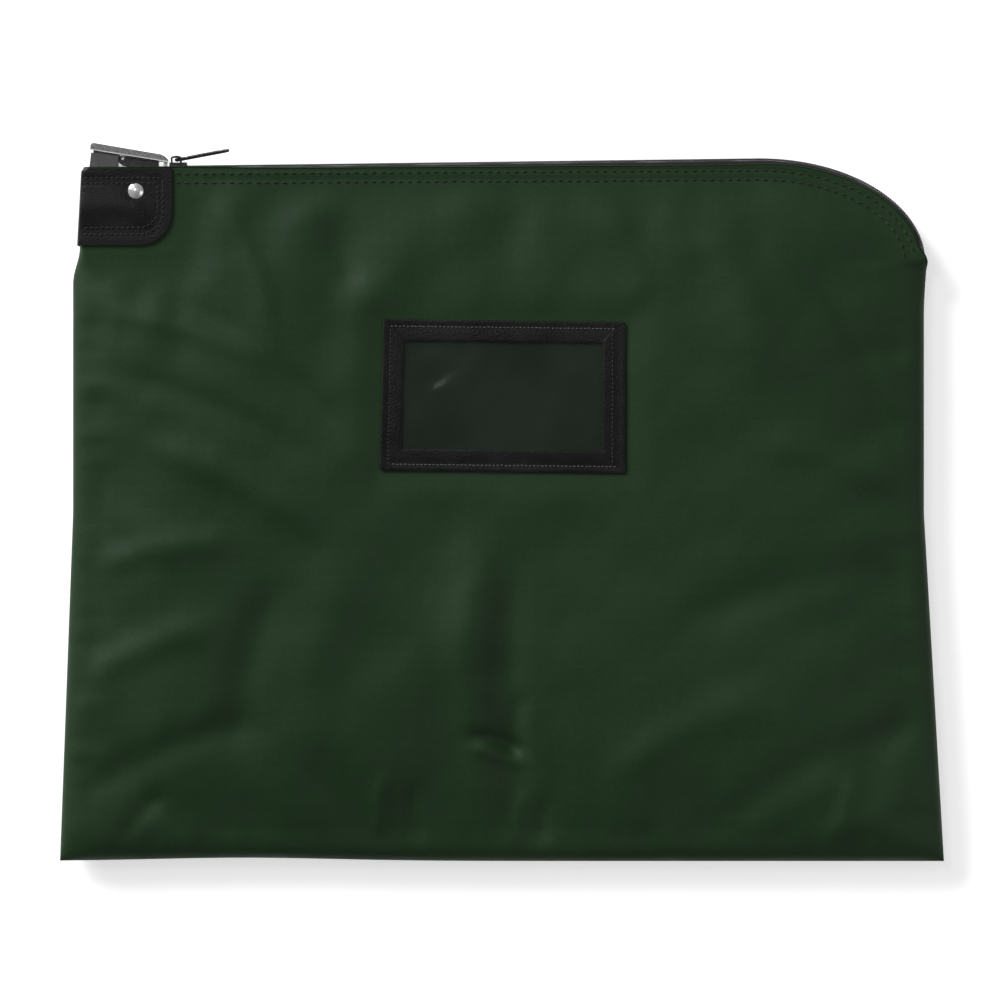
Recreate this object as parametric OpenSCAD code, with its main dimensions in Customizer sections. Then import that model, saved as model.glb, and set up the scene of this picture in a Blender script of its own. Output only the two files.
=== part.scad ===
// Locking cash deposit bag, lying on its back, front face up.
// +X points to the right edge, +Y to the zipper, +Z out of the front face.
// The origin is the middle of the flat bag's outline, on the plane it lies on.

/* [Bag] */
// Width of the bag along its bottom edge
bag_w = 508; // [420:1:620]
// Height of the bag from the bottom edge to the zipper
bag_h = 406; // [330:1:500]
// Thickness of the bag over its flat middle
bag_t = 22; // [18.4:0.1:27]
// How far each side draws in between the bottom corner and the waist
side_draw = 9.5; // [4:0.5:16]
// How far the upper half sits off the middle, towards the left
top_lean = 2; // [0:0.5:5]
// Height of the waist above the bottom edge
waist_up = 200; // [120:5:240]
// Width of the round roll along the sides and the bottom
roll_w = 24; // [12:1:30]
// Thickness of the laminated cloth
cloth_t = 0.8; // [0.6:0.1:1]

/* [Mouth and zipper] */
// Width of the mouth's curved corner
corner_w = 91.5; // [60:0.5:110]
// Height of the mouth's curved corner
corner_h = 56; // [40:0.5:80]
// How far the panels' upper edge drops from the corner to the lock
mouth_drop = 2; // [0:0.5:4]
// How far the zipper drops from the corner to the lock
chain_drop = 4.3; // [3:0.1:5]
// How far the zipper tape stands out past the panels' edge at the corner
tape_out = 2.6; // [2.2:0.1:3.4]
// Thickness of the zipper tape
tape_t = 0.6; // [0.4:0.1:0.8]
// Width of tape sewn under each panel
tape_sewn = 12; // [8:1:16]
// Height of a zipper coil above its tape
coil_h = 1.4; // [1:0.1:1.8]
// Width of one zipper coil
coil_w = 2.6; // [2:0.1:3.2]
// Gap between the two coils
coil_gap = 1.2; // [1:0.1:1.6]

/* [Slider and pull tab] */
// Length of the slider's plates
slider_l = 10; // [8:0.5:12]
// Length of the pull tab from its pivot to its tip
tab_l = 31; // [22:1:36]
// Width of the pull tab
tab_w = 6.6; // [5.6:0.2:8]
// Thickness of the pull tab
tab_t = 1.6; // [1.4:0.1:2.2]
// Angle of the pull tab above the zipper at rest
tab_rise = 10; // [5:1:20]
// Roll of the pull tab about its own length at rest
tab_roll = 9; // [0:1:14]
// Radius of the small hole at the pull tab's tip
tab_hole_r = 1.25; // [1:0.05:1.6]

/* [Lock patch and rivet] */
// Width of the vinyl patch round the lock
patch_w = 54.8; // [48:0.2:64]
// Height of the vinyl patch
patch_h = 44.5; // [38:0.5:56]
// Thickness of the vinyl
vinyl_t = 1.2; // [0.8:0.1:1.6]
// Radius of the patch's rounded corner
patch_r = 19; // [8:1:24]
// Radius of the rivet's cap
cap_r = 4.4; // [3.6:0.1:6]
// Height of the rivet's cap
cap_h = 1.4; // [1:0.1:1.4]
// Radius of the rivet's post
post_r = 1.5; // [1:0.1:2]

/* [Card window] */
// Width of the card frame
frame_w = 139.4; // [120:0.2:170]
// Height of the card frame
frame_h = 86.5; // [74:0.5:105]
// Width of the clear opening
opening_w = 114.4; // [96:0.2:127]
// Height of the clear opening
opening_h = 61.7; // [50:0.1:76]
// Height of the frame's middle above the bag's bottom edge
frame_up = 267; // [180:1:280]
// Thickness of the clear pane
pane_t = 0.4; // [0.3:0.1:0.5]

/* [Lock] */
// Tilt of the lock, clockwise as seen from the front
lock_tilt = 6.5; // [0:0.5:10]
// Half the thickness of the lock's housing
lock_half = 7; // [7:0.1:8]
// How far the hood travels when it is pushed shut
press = 7.5; // [6:0.1:8]
// Radius of the key plug
plug_r = 4.2; // [4:0.1:4.4]
// Throw of the lock's bolt
throw = 2.2; // [1.6:0.1:2.4]

/* [Hidden] */
$fn = 48;
eps = 0.01;
touch = 0.05;   // gap between pieces that lie against each other
slack = 0.3;    // gap round a piece that slides
run = 0.05;     // radial gap of a turning fit

// heights, measured from the plane the bag lies on
mid = bag_t / 2;
mouth_half = lock_half + 0.4 + cloth_t;           // half thickness of the bag at its mouth
mouth_in = mid + mouth_half - cloth_t;            // inside of the front panel at the mouth

// the outline
mouth_below = 6;     // the panels' upper edge lies this far below the outline's top
corner_in = 3;       // the mouth's curved corner lies this far inside the right edge
patch_in = 2.7;      // the patch lies this far inside the left edge
y_bottom = -bag_h / 2;
y_waist = y_bottom + waist_up;
corner_y = bag_h / 2 - mouth_below - corner_h;    // where the zipper ends
corner_x = bag_w / 2 - side_draw - top_lean - corner_in - corner_w;
right_x = bag_w / 2 - side_draw - top_lean;       // right edge above the waist
left_x = -bag_w / 2 + side_draw - top_lean;       // left edge above the waist
patch_x1 = left_x + patch_in + patch_w;           // the patch's inner edge
patch_x0 = patch_x1 - patch_w;
lock_left = patch_x0 + vinyl_t + touch;           // the panels' left edge inside the patch
mouth_len = corner_x - patch_x1;                  // straight part of the mouth
mouth_top = corner_y + corner_h;
function mouth_y(x) = mouth_top - mouth_drop * max(0, corner_x - x) / mouth_len;
patch_y1 = mouth_y(patch_x1);
patch_y0 = patch_y1 - patch_h;

function clamp01(t) = min(1, max(0, t));
function smooth(t) = let (c = clamp01(t)) c * c * (3 - 2 * c);
function mix(a, b, t) = a + (b - a) * t;

// ---- panels: a grid of points over the outline, lifted into a shallow pillow ----
roll_steps = 4;
corner_steps = 8;
seat_flat = 8;      // how far the thin stack round the lock and mouth stays flat
seat_fade = 26;     // how far it takes to reach the bag's full thickness
lock_roll = 2.5;    // roll of the side beside the lock
end_step = 4;       // the zipper's end closes over this length
end_fade = 30;      // the side draws in over this length to the zipper's end
lock_below = 36;    // and beside the lock from this far below the patch
lock_fade = 30;

// rows from the bottom to the top: [y, bottom roll angle, corner angle or -1]
roll_rows = [for (i = [0:roll_steps]) let (a = 90 * i / roll_steps)
  [y_bottom + roll_w * (1 - cos(a)), a, -1]];
mid_rows = [for (y = [mix(y_bottom, y_waist, 0.4), mix(y_bottom, y_waist, 0.7), y_waist,
  mix(y_waist, corner_y, 0.45), corner_y - 27, corner_y - 14, corner_y - end_step]) [y, 90, -1]];
corner_rows = [for (i = [0:corner_steps]) let (t = 90 - 90 * i / corner_steps)
  [corner_y + corner_h * cos(t), 90, t]];
rows = concat(roll_rows, mid_rows, corner_rows);

function lock_blend(y) = smooth((y - (patch_y0 - lock_below)) / lock_fade);
function row_left(y) = mix(y < y_waist ? mix(-bag_w / 2, left_x, (y - y_bottom) / waist_up) : left_x,
  lock_left, lock_blend(y));
function row_right(r) = r[2] >= 0 ? corner_x + corner_w * sin(r[2])
  : r[0] < y_waist ? mix(bag_w / 2, right_x, (r[0] - y_bottom) / waist_up)
  : mix(right_x, corner_x + corner_w, smooth((r[0] - corner_y + end_fade) / end_fade));
roll_angles = [for (i = [0:roll_steps]) 90 * i / roll_steps];
mid_cols = [patch_x1 + 9, patch_x1 + 38, -110, -20, 50, corner_x - roll_w - 14];

// one row's points as [x, side roll]; the side roll is 0 at a seam and 1 on the flat
function row_cols(r) = let (xl = row_left(r[0]), xr = row_right(r), rl = mix(roll_w, lock_roll,
  lock_blend(r[0]))) concat(
  [for (a = roll_angles) [xl + rl * (1 - cos(a)), sin(a)]],
  [for (x = mid_cols) [x, 1]],
  [for (i = [roll_steps:-1:0]) let (a = roll_angles[i])
    [xr - roll_w * (1 - cos(a)), r[2] >= 0 ? 1 : sin(a)]]);

function mouth_gap(x, y) = x < corner_x ? mouth_top - y
  : y < corner_y ? corner_y - y + max(0, corner_x + corner_w - x)
  : corner_h * (1 - norm([(x - corner_x) / corner_w, (y - corner_y) / corner_h]));
function lock_gap(x, y) = norm([max(0, x - patch_x1), max(0, patch_y0 - y)]);
function seat(x, y) = let (g = min(mouth_gap(x, y), lock_gap(x, y)))
  1 - smooth((g - seat_flat) / seat_fade);
function half_at(x, y) = mix(mid, mouth_half, seat(x, y));
function row_shift(x, r) = r[2] < 0 ? 0
  : (mouth_y(x) - mouth_top) * (r[0] - corner_y) / corner_h;
grid = [for (r = rows) [for (c = row_cols(r)) let (y = r[0] + row_shift(c[0], r))
  [c[0], y, mid + mix(cloth_t, half_at(c[0], r[0]) - touch, c[1] * sin(r[1]))]]];
n_row = len(grid);
n_col = len(grid[0]);

function unit(v) = v / max(1e-9, norm(v));
function seam_point(i, j) = grid[i][j][2] < mid + cloth_t + eps;
function grid_normal(i, j) = let (
  du = grid[i][min(n_col - 1, j + 1)] - grid[i][max(0, j - 1)],
  dv = grid[min(n_row - 1, i + 1)][j] - grid[max(0, i - 1)][j],
  n = cross(du, dv)) seam_point(i, j) ? [0, 0, 1] : unit(n);
inner_grid = [for (i = [0:n_row - 1]) [for (j = [0:n_col - 1])
  grid[i][j] - cloth_t * grid_normal(i, j)]];

module shell(outer, inner) {
  n = n_row * n_col;
  function id(i, j) = i * n_col + j;
  tops = [for (i = [0:n_row - 2]) for (j = [0:n_col - 2]) each [
    [id(i, j), id(i + 1, j), id(i + 1, j + 1)], [id(i, j), id(i + 1, j + 1), id(i, j + 1)]]];
  bottoms = [for (f = tops) [n + f[2], n + f[1], n + f[0]]];
  rim = concat([for (j = [0:n_col - 1]) id(0, j)], [for (i = [1:n_row - 1]) id(i, n_col - 1)],
    [for (j = [n_col - 2:-1:0]) id(n_row - 1, j)], [for (i = [n_row - 2:-1:1]) id(i, 0)]);
  m = len(rim);
  sides = [for (k = [0:m - 1]) let (a = rim[k], b = rim[(k + 1) % m])
    each [[a, b, n + b], [a, n + b, n + a]]];
  points = concat([for (r = outer) each r], [for (r = inner) each r]);
  polyhedron(points, concat(tops, bottoms, sides));
}

module panel() {
  translate([0, 0, touch])
    shell(grid, inner_grid);
}

// mirrors a piece of the front into the same piece of the back
module back_side() {
  translate([0, 0, bag_t])
    mirror([0, 0, 1])
      children();
}

module front_panel() {
  color("darkgreen")
    panel();
}

module back_panel() {
  color([0.13, 0.24, 0.13])
    back_side()
      panel();
}

// ---- seam bindings, folded tape over the turned seams inside ----
bind_w = 9;
bind_t = 1.6;
bind_in = 2.4;
corner_clear = 16;

// a strip beside a line of points, from inset a to inset b along the inward direction s
module strip(line, s, a, b) {
  translate([0, 0, mid - bind_t / 2])
    linear_extrude(bind_t)
      polygon(concat([for (p = line) p + s * a], [for (i = [len(line) - 1:-1:0]) line[i] + s * b]));
}

module left_seam_binding() {
  line = [for (y = [y_bottom + corner_clear, y_waist, patch_y0 - lock_below - 2]) [row_left(y), y]];
  color("black")
    strip(line, [1, 0], bind_in, bind_in + bind_w);
}

module right_seam_binding() {
  line = [for (y = [y_bottom + corner_clear, y_waist, corner_y - end_fade - 2]) [row_right([y, 90, -1]), y]];
  color("black")
    strip(line, [-1, 0], bind_in, bind_in + bind_w);
}

module bottom_seam_binding() {
  x = bag_w / 2 - corner_clear;
  color("black")
    strip([[-x, y_bottom], [x, y_bottom]], [0, 1], bind_in, bind_in + bind_w);
}

// ---- zipper: a straight run that drops to the lock, then an elliptical corner ----
chain_slope = atan(chain_drop / mouth_len);
chain_w = corner_w + tape_out - 0.1;
chain_h = corner_h + tape_out;
chain_top = corner_y + chain_h;
tape_x0 = patch_x1 - 2;                          // the tape starts under the patch
tape_tail = 3;                                    // carries the end stop past the coils
tape_z = mouth_in - touch - tape_t;               // underside of the sewn part
zip_steps = 24;
function chain_y(x) = chain_top - tan(chain_slope) * (corner_x - x);

// the tape's outer face, moved out by n
function chain_line(n) = concat([[tape_x0 - n * sin(chain_slope), chain_y(tape_x0) + n]],
  [for (i = [0:zip_steps]) let (t = 90 * i / zip_steps,
    d = unit([chain_h * sin(t), chain_w * cos(t)]))
    [corner_x + chain_w * sin(t), corner_y + chain_h * cos(t)] + n * d]);
module ribbon(n0, n1, z0, z1) {
  a = chain_line(n0);
  b = chain_line(n1);
  translate([0, 0, z0])
    linear_extrude(z1 - z0)
      polygon(concat(b, [for (i = [len(a) - 1:-1:0]) a[i]]));
}

// a strip folded along the mouth: this is its roof, across from the fold to the coil
tape_lip = mid + coil_gap / 2 + slack;            // the roof's inner edge
module zipper_tape() {
  color("black") {
    ribbon(-tape_t, 0, tape_lip, tape_z + tape_t);
    translate([corner_x + chain_w - tape_t, corner_y - tape_tail, tape_lip])
      cube([tape_t, tape_tail + eps, tape_z + tape_t - tape_lip]);
  }
}

// and this is its sewn edge, from the fold in under the panel
module tape_hem() {
  color("black")
    ribbon(-tape_out - tape_sewn, -tape_t - touch, tape_z, tape_z + tape_t);
}

module front_tape_hem() {
  tape_hem();
}

module back_tape_hem() {
  back_side()
    tape_hem();
}

module front_zipper_tape() {
  zipper_tape();
}

module back_zipper_tape() {
  back_side()
    zipper_tape();
}

module zipper_coil() {
  color([0.09, 0.09, 0.09])
    ribbon(touch, coil_h, mid + coil_gap / 2, mid + coil_gap / 2 + coil_w);
}

module front_zipper_coil() {
  zipper_coil();
}

module back_zipper_coil() {
  back_side()
    zipper_coil();
}

// places children on the straight chain at x, with the tape's outer face at their y = 0
module on_chain(x) {
  translate([x, chain_y(x), mid])
    rotate([0, 0, chain_slope])
      children();
}

module zipper_end_stop() {
  stop_l = 2.4;
  color("black")
    translate([corner_x + chain_w + touch, corner_y - stop_l - 0.1, mid - coil_gap / 2 - coil_w])
      cube([coil_h, stop_l, 2 * coil_w + coil_gap]);
}

// ---- slider ----
plate_t = 1.2;
base_t = 1.4;
plate_gap = slack;                     // gap between coil and upper plate
top_y0 = coil_h + plate_gap;
top_y1 = top_y0 + plate_t;
base_y1 = -tape_t - slack;
base_y0 = base_y1 - base_t;
slider_half = coil_gap / 2 + coil_w + 1.6;
flange_t = 1.1;
crown_in = 2.1;                        // half length of the crown's opening
crown_t = 1.1;
crown_half = 1.2;                      // half width of the crown
bar_r = 0.9;
tab_lift = 0.7;                        // gap that the tab's rolled edge needs under its bar
pivot_up = top_y1 + bar_r + tab_lift;
crown_top = pivot_up + bar_r + slack;
crown_rise = 1.3;
tongue_drop = 2.2;                     // the tongue steps down, clear of the pressed hood
tongue_y1 = base_y1 - tongue_drop;
tongue_y0 = tongue_y1 - base_t;
tongue_end = 1.6;
slider_x = patch_x1 + 3.1;             // middle of the slider at rest
crown_x = slider_x - 1.2;              // the pull tab's pivot at rest

module slider_plate(y0, y1) {
  translate([-slider_l / 2, y0, -slider_half])
    cube([slider_l, y1 - y0, 2 * slider_half]);
}

module slider_flange(y0, y1) {
  for (s = [-1, 1])
    translate([-slider_l / 2, y0, s * (slider_half - flange_t / 2) - flange_t / 2])
      cube([slider_l, y1 - y0, flange_t]);
}

// an arch with a round top and a straight-sided opening
module crown() {
  half = crown_in + crown_t;
  steps = 12;
  translate([0, 0, -crown_half])
    linear_extrude(2 * crown_half)
      difference() {
        polygon(concat([[-half, top_y1 - 0.2], [half, top_y1 - 0.2]],
          [for (i = [0:steps]) let (a = 180 * i / steps)
            [half * cos(a), crown_top + crown_rise * sin(a)]]));
        translate([-crown_in, top_y1])
          square([2 * crown_in, crown_top - top_y1]);
      }
}

// the tongue steps down from the lower plate and reaches left, and its eye takes the hood's nose
module slider_body() {
  color([0.1, 0.1, 0.1])
    on_chain(slider_x)
      difference() {
        union() {
          slider_plate(top_y0, top_y1);
          slider_plate(base_y0, base_y1);
          slider_flange(slack, top_y0 + eps);
          translate([-slider_l / 2, base_y0, -coil_gap / 2 + slack])
            cube([1.6, top_y1 - base_y0, coil_gap - 2 * slack]);
          translate([crown_x - slider_x, 0, 0])
            crown();
          translate([-tongue_reach, tongue_y0, -tongue_half])
            cube([tongue_reach - slider_l / 2 + base_t, base_t, 2 * tongue_half]);
          translate([-slider_l / 2, tongue_y0, -tongue_half])
            cube([base_t, base_y1 - tongue_y0, 2 * tongue_half]);
        }
        translate([eye_x0 - slider_x, tongue_y0 - 1, -nose_half - eye_gap])
          cube([nose_t + 2 * eye_gap, base_t + 2, 2 * (nose_half + eye_gap)]);
      }
}

module slider_pull_tab() {
  hole_in = 1.9;
  color([0.12, 0.12, 0.12])
    on_chain(slider_x)
      translate([crown_x - slider_x, pivot_up, 0])
        rotate([0, 0, tab_rise]) {
          translate([0, 0, -hole_in - 0.6])
            cylinder(h = 2 * hole_in + 1.2, r = bar_r);
          rotate([tab_roll, 0, 0])
            tab_plate(hole_in, tab_w / 2);
        }
}

// a flat bar with an eye for the crown, a long recess each side and a small hole at its tip
module tab_plate(hole_in, half) {
  eye_l = 5.6;
  rim = 1.1;
  recess = 0.45;
  slot_x1 = tab_l - half - tab_hole_r - 1.5;
  rotate([90, 0, 0])
    translate([0, 0, -tab_t / 2])
      difference() {
        linear_extrude(tab_t)
          difference() {
            union() {
              translate([0, -hole_in - rim])
                square([eye_l + 2, 2 * (hole_in + rim)]);
              translate([eye_l, -half])
                square([tab_l - half - eye_l, tab_w]);
              translate([tab_l - half, 0])
                circle(half);
            }
            translate([-1, -hole_in])
              square([eye_l + 1, 2 * hole_in]);
          }
        translate([tab_l - half, 0, -1])
          cylinder(h = tab_t + 2, r = tab_hole_r);
        for (z = [-1, tab_t - recess])
          translate([eye_l + rim, -half + rim, z])
            cube([slot_x1 - eye_l - rim, tab_w - 2 * rim, recess + 1]);
      }
}

// ---- lock patch and rivet ----
rivet_in = 20.9;          // the rivet's distance from the patch's inner edge
rivet_down = 13.4;        // and from its upper edge
rivet_x = patch_x1 - rivet_in;
rivet_y = patch_y1 - rivet_down;
patch_z = mid + mouth_half + 2 * touch;            // underside of the front layer

module patch_outline() {
  difference() {
    translate([patch_x0, patch_y0])
      square([patch_w, patch_h]);
    translate([patch_x1 - patch_r, patch_y0])
      difference() {
        translate([0, -1])
          square([patch_r + 1, patch_r + 1]);
        translate([0, patch_r])
          circle(patch_r, $fn = 96);
      }
  }
}

module lock_patch() {
  color([0.17, 0.17, 0.17])
    difference() {
      union() {
        translate([0, 0, patch_z])
          linear_extrude(vinyl_t)
            patch_outline();
        back_side()
          translate([0, 0, patch_z])
            linear_extrude(vinyl_t)
              patch_outline();
        translate([patch_x0, patch_y0, bag_t - patch_z - eps])
          cube([vinyl_t, patch_h, 2 * patch_z - bag_t + 2 * eps]);
      }
      translate([rivet_x, rivet_y, -1])
        cylinder(h = bag_t + 2, r = post_r + run);
    }
}

// a domed cap as part of a ball
module cap_dome() {
  ball_r = (cap_r * cap_r + cap_h * cap_h) / (2 * cap_h);
  rotate_extrude($fn = 96)
    intersection() {
      translate([0, cap_h - ball_r])
        circle(ball_r, $fn = 120);
      square([cap_r, cap_h]);
    }
}

cap_z = patch_z + vinyl_t + touch;
module rivet_cap() {
  color("silver")
    translate([rivet_x, rivet_y, cap_z])
      cap_dome();
}

module rivet_post() {
  color("silver") {
    translate([rivet_x, rivet_y, bag_t - cap_z - eps])
      cylinder(h = 2 * cap_z - bag_t + eps - touch, r = post_r);
    translate([rivet_x, rivet_y, bag_t - cap_z])
      mirror([0, 0, 1])
        cap_dome();
  }
}

// ---- card window ----
frame_off = 4.9;         // the frame sits this far right of the upper half's middle
frame_x = left_x + right_x + frame_off;
frame_y = y_bottom + frame_up;
frame_r = 3;
pane_lap = 4;
border_lean = 0.7;       // the opening sits this far left of the frame's middle
module rounded(w, h, r) {
  square([w - 2 * r, h], center = true);
  square([w, h - 2 * r], center = true);
  for (x = [-1, 1], y = [-1, 1])
    translate([x * (w / 2 - r), y * (h / 2 - r)])
      circle(r);
}

module window_frame() {
  color([0.12, 0.12, 0.12])
    translate([frame_x, frame_y, bag_t + 2 * touch])
      difference() {
        linear_extrude(vinyl_t)
          difference() {
            rounded(frame_w, frame_h, frame_r);
            translate([-border_lean, 0])
              square([opening_w, opening_h], center = true);
          }
        translate([-border_lean - pane_w / 2, -pane_h / 2, -1])
          cube([pane_w, pane_h, 1 + pane_t + touch]);
      }
}

pane_w = opening_w + 2 * pane_lap;
pane_h = opening_h + 2 * pane_lap;
module window_pane() {
  color([0.8, 0.9, 0.85, 0.35])
    translate([frame_x - border_lean - pane_w / 2 + touch, frame_y - pane_h / 2 + touch,
      bag_t + 2 * touch])
      cube([pane_w - 2 * touch, pane_h - 2 * touch, pane_t]);
}

// ---- lock: x runs along it, y up out of the bag, z through it, origin on the rivet ----
well_x0 = -28.5;
well_x1 = -12;
well_half = lock_half - 1.1;
well_y0 = -14;
house_x0 = well_x0 - 0.7;
house_x1 = 17;
house_y0 = well_y0 - 1.5;
house_y1 = 8.5;
cover_t = 1;
post_x0 = well_x0 + slack;
post_x1 = well_x1 - slack;
post_half = well_half - slack;
post_y0 = -6;
post_y1 = 19.2;
plug_x = -21.5;
plug_y0 = 6;
plug_y1 = 24;
nose_x0 = 13.6;
nose_t = 2.2;
nose_half = 2.2;
nose_y0 = 15.8;
tongue_half = nose_half + 1.6;
eye_gap = 0.7;             // gap round the nose in the tongue's eye
eye_dy = chain_y(slider_x) + tongue_y1 - base_t / 2 - rivet_y;
eye_v = ((nose_x0 + nose_t / 2) * sin(lock_tilt) + eye_dy) / cos(lock_tilt);
eye_x0 = rivet_x + nose_x0 * cos(lock_tilt) + eye_v * sin(lock_tilt) - eye_gap;
tongue_reach = slider_x - eye_x0 + tongue_end;

module in_lock() {
  translate([rivet_x, rivet_y, mid])
    rotate([0, 0, -lock_tilt])
      children();
}

// a box from its two opposite corners
module box(a, b) {
  translate(a)
    cube(b - a);
}

module rivet_bore() {
  translate([0, 0, -lock_half - 1])
    cylinder(h = 2 * lock_half + 2, r = post_r + run);
}

bolt_y0 = 0.4;
bolt_h = 3.2;
bolt_half = 2.8;
bolt_x0 = -26.6;
module bolt_pocket(y) {
  box([well_x1 - 1, y - slack - 0.1, -bolt_half - slack],
    [post_x1 + throw + 0.7, y + bolt_h + slack + 0.1, bolt_half + slack]);
}

module lock_housing() {
  color([0.45, 0.45, 0.45])
    in_lock()
      difference() {
        box([house_x0, house_y0, -lock_half], [house_x1, house_y1, lock_half - cover_t - touch]);
        box([well_x0, well_y0, -well_half], [well_x1, house_y1 + 1, lock_half]);
        box([post_x1 - slack, ear_y0 - press - slack - 0.1, -ear_in - ear_t / 2 - slack],
          [latch_x1 + slack, house_y1 + 1, ear_in + ear_t / 2 + slack]);
        box([nose_x0 - 0.6, nose_y0 - press - 0.6, -nose_half - 0.6],
          [nose_x0 + nose_t + 0.6, house_y1 + 1, nose_half + 0.6]);
        bolt_pocket(bolt_y0);
        bolt_pocket(bolt_y0 - press);
        rivet_bore();
      }
}

module lock_cover_plate() {
  color([0.5, 0.5, 0.5])
    in_lock()
      difference() {
        box([house_x0, house_y0, lock_half - cover_t], [house_x1, house_y1, lock_half]);
        rivet_bore();
      }
}

stack_n = 5;
stack_y0 = 8.4;
stack_pitch = 2.3;
pin_r = 0.85;
shear_x = plug_x + plug_r;
strip_x0 = post_x1 - 0.8;
module each_stack() {
  for (i = [0:stack_n - 1])
    translate([0, stack_y0 + i * stack_pitch, 0])
      rotate([0, 90, 0])
        children();
}

spring_bore_r = 3.6;
spring_top = -0.8;
spring_x = (post_x0 + post_x1) / 2;
lug_x1 = -8;
lug_y0 = 16.3;
hood_pin_x = -9.7;
hood_pin_y = 17.7;
hood_pin_r = 0.8;
neck_y1 = 21.6;
module lock_plunger() {
  color([0.33, 0.33, 0.33])
    in_lock()
      difference() {
        union() {
          box([post_x0, post_y0, -post_half], [post_x1, post_y1, post_half]);
          box([post_x0 + 1.2, post_y1 - 1, -hood_in + touch], [post_x1, neck_y1, hood_in - touch]);
          box([post_x1 - 1, lug_y0, -1.7], [lug_x1, post_y1, 1.7]);
        }
        translate([plug_x, plug_y0 - touch, 0])
          rotate([-90, 0, 0])
            cylinder(h = plug_y1, r = plug_r + run);
        box([bolt_x0 - slack, bolt_y0 - slack - 0.1, -bolt_half - slack],
          [post_x1 + 1, bolt_y0 + bolt_h + slack + 0.1, bolt_half + slack]);
        translate([plug_x, bolt_y0, 0])
          rotate([-90, 0, 0])
            cylinder(h = plug_y0, r = crank_r + crank_pin_r + slack);
        translate([spring_x, post_y0 - 1, 0])
          rotate([-90, 0, 0])
            cylinder(h = spring_top - post_y0 + 1, r = spring_bore_r);
        each_stack()
          translate([0, 0, plug_x])
            cylinder(h = strip_x0 - plug_x + eps, r = pin_r + run);
        box([strip_x0, stack_y0 - 1.6, -1.5],
          [post_x1 + 1, stack_y0 + (stack_n - 1) * stack_pitch + 1.3, 1.5]);
        translate([hood_pin_x, hood_pin_y, -3])
          cylinder(h = 6, r = hood_pin_r + run);
      }
}

// the hood: an upside-down channel with a nose at its free end
hood_half = lock_half - 0.5;
hood_in = hood_half - 1.5;
hood_side = [[-28.9, 20.8], [-28.9, 23.4], [-28.4, 24.4], [-27.2, 24.8], [11.8, 22.6],
  [13.9, 21.9], [15.3, 20.9], [15.8, 19.4], [15.8, 18.6], [13.6, 18.9]];
hood_core = [[-27.4, 18], [-27.4, 23.2], [11.2, 21.1], [12.6, 20.4], [12.6, 18]];
hood_nose = [[nose_x0, nose_y0], [nose_x0 + nose_t, nose_y0], [15.8, 19.4], [15.4, 20.6], [nose_x0, 20.6]];
hood_slot_y1 = eye_v + base_t / 2 + press + 0.5;      // the pressed hood's end straddles the tongue
module lock_hood() {
  color([0.5, 0.5, 0.5])
    in_lock()
      union() {
        difference() {
          translate([0, 0, -hood_half])
            linear_extrude(2 * hood_half)
              polygon(hood_side);
          translate([0, 0, -hood_in])
            linear_extrude(2 * hood_in)
              polygon(hood_core);
          box([12, 17, -tongue_half - slack - 0.1], [17, hood_slot_y1, tongue_half + slack + 0.1]);
          translate([plug_x, 18, 0])
            rotate([-90, 0, 0])
              cylinder(h = 10, r = plug_r + run);
        }
        translate([0, 0, -nose_half])
          linear_extrude(2 * nose_half)
            polygon(hood_nose);
      }
}

latch_y1 = 19.4;
latch_x1 = 10.8;         // ends short of the slider's tongue
latch_half = hood_in - 0.4;
ear_x0 = post_x1 + 0.4;
ear_y0 = 14;             // each cheek of the lever fills the gap under the hood
ear_in = 2.6;            // middle of each cheek, beside the plunger's lug
ear_t = 1.2;
cheek = [[ear_x0, ear_y0 + 1.4], [ear_x0 + 2, ear_y0], [latch_x1 - 1.4, ear_y0],
  [latch_x1, ear_y0 + 2.2], [latch_x1, latch_y1], [ear_x0, latch_y1]];

// a lever under the hood: a plate between two cheeks, held by the hood's pin
module latch_plate() {
  color([0.2, 0.2, 0.2])
    in_lock()
      difference() {
        union() {
          box([post_x1 + 5, latch_y1 - 1, -latch_half], [latch_x1, latch_y1, latch_half]);
          for (s = [-1, 1])
            translate([0, 0, s * ear_in - ear_t / 2])
              linear_extrude(ear_t)
                polygon(cheek);
        }
        translate([hood_pin_x, hood_pin_y, -lock_half])
          cylinder(h = 2 * lock_half, r = hood_pin_r + run);
      }
}

module hood_pin() {
  color([0.85, 0.85, 0.85])
    in_lock()
      translate([hood_pin_x, hood_pin_y, -latch_half])
        cylinder(h = 2 * latch_half, r = hood_pin_r);
}

// ---- key plug, pins and bolt ----
crank_r = throw / 2 / sin(45);
crank_pin_r = 0.5;
key_w = 1.3;
key_x0 = -3.2;
key_x1 = 1.4;
module key_plug() {
  color([0.72, 0.6, 0.3])
    in_lock()
      translate([plug_x, 0, 0]) {
        difference() {
          translate([0, plug_y0, 0])
            rotate([-90, 0, 0])
              cylinder(h = plug_y1 - plug_y0, r = plug_r);
          box([key_x0, plug_y0 + 1.2, -key_w / 2], [key_x1, plug_y1 + 1, key_w / 2]);
          each_stack()
            cylinder(h = plug_r + 1, r = pin_r + run);
        }
        translate([-throw / 2, bolt_y0 + 0.3, throw / 2])
          rotate([-90, 0, 0])
            cylinder(h = plug_y0 - bolt_y0 - 0.3 + eps, r = crank_pin_r);
      }
}

module key_pins() {
  color([0.8, 0.7, 0.4])
    in_lock()
      intersection() {
        translate([plug_x, 0, 0])
          each_stack()
            translate([0, 0, key_x1 - 1])
              cylinder(h = plug_r, r = pin_r);
        translate([plug_x, 0, 0])
          rotate([-90, 0, 0])
            cylinder(h = plug_y1, r = plug_r - 0.1);
      }
}

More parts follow.
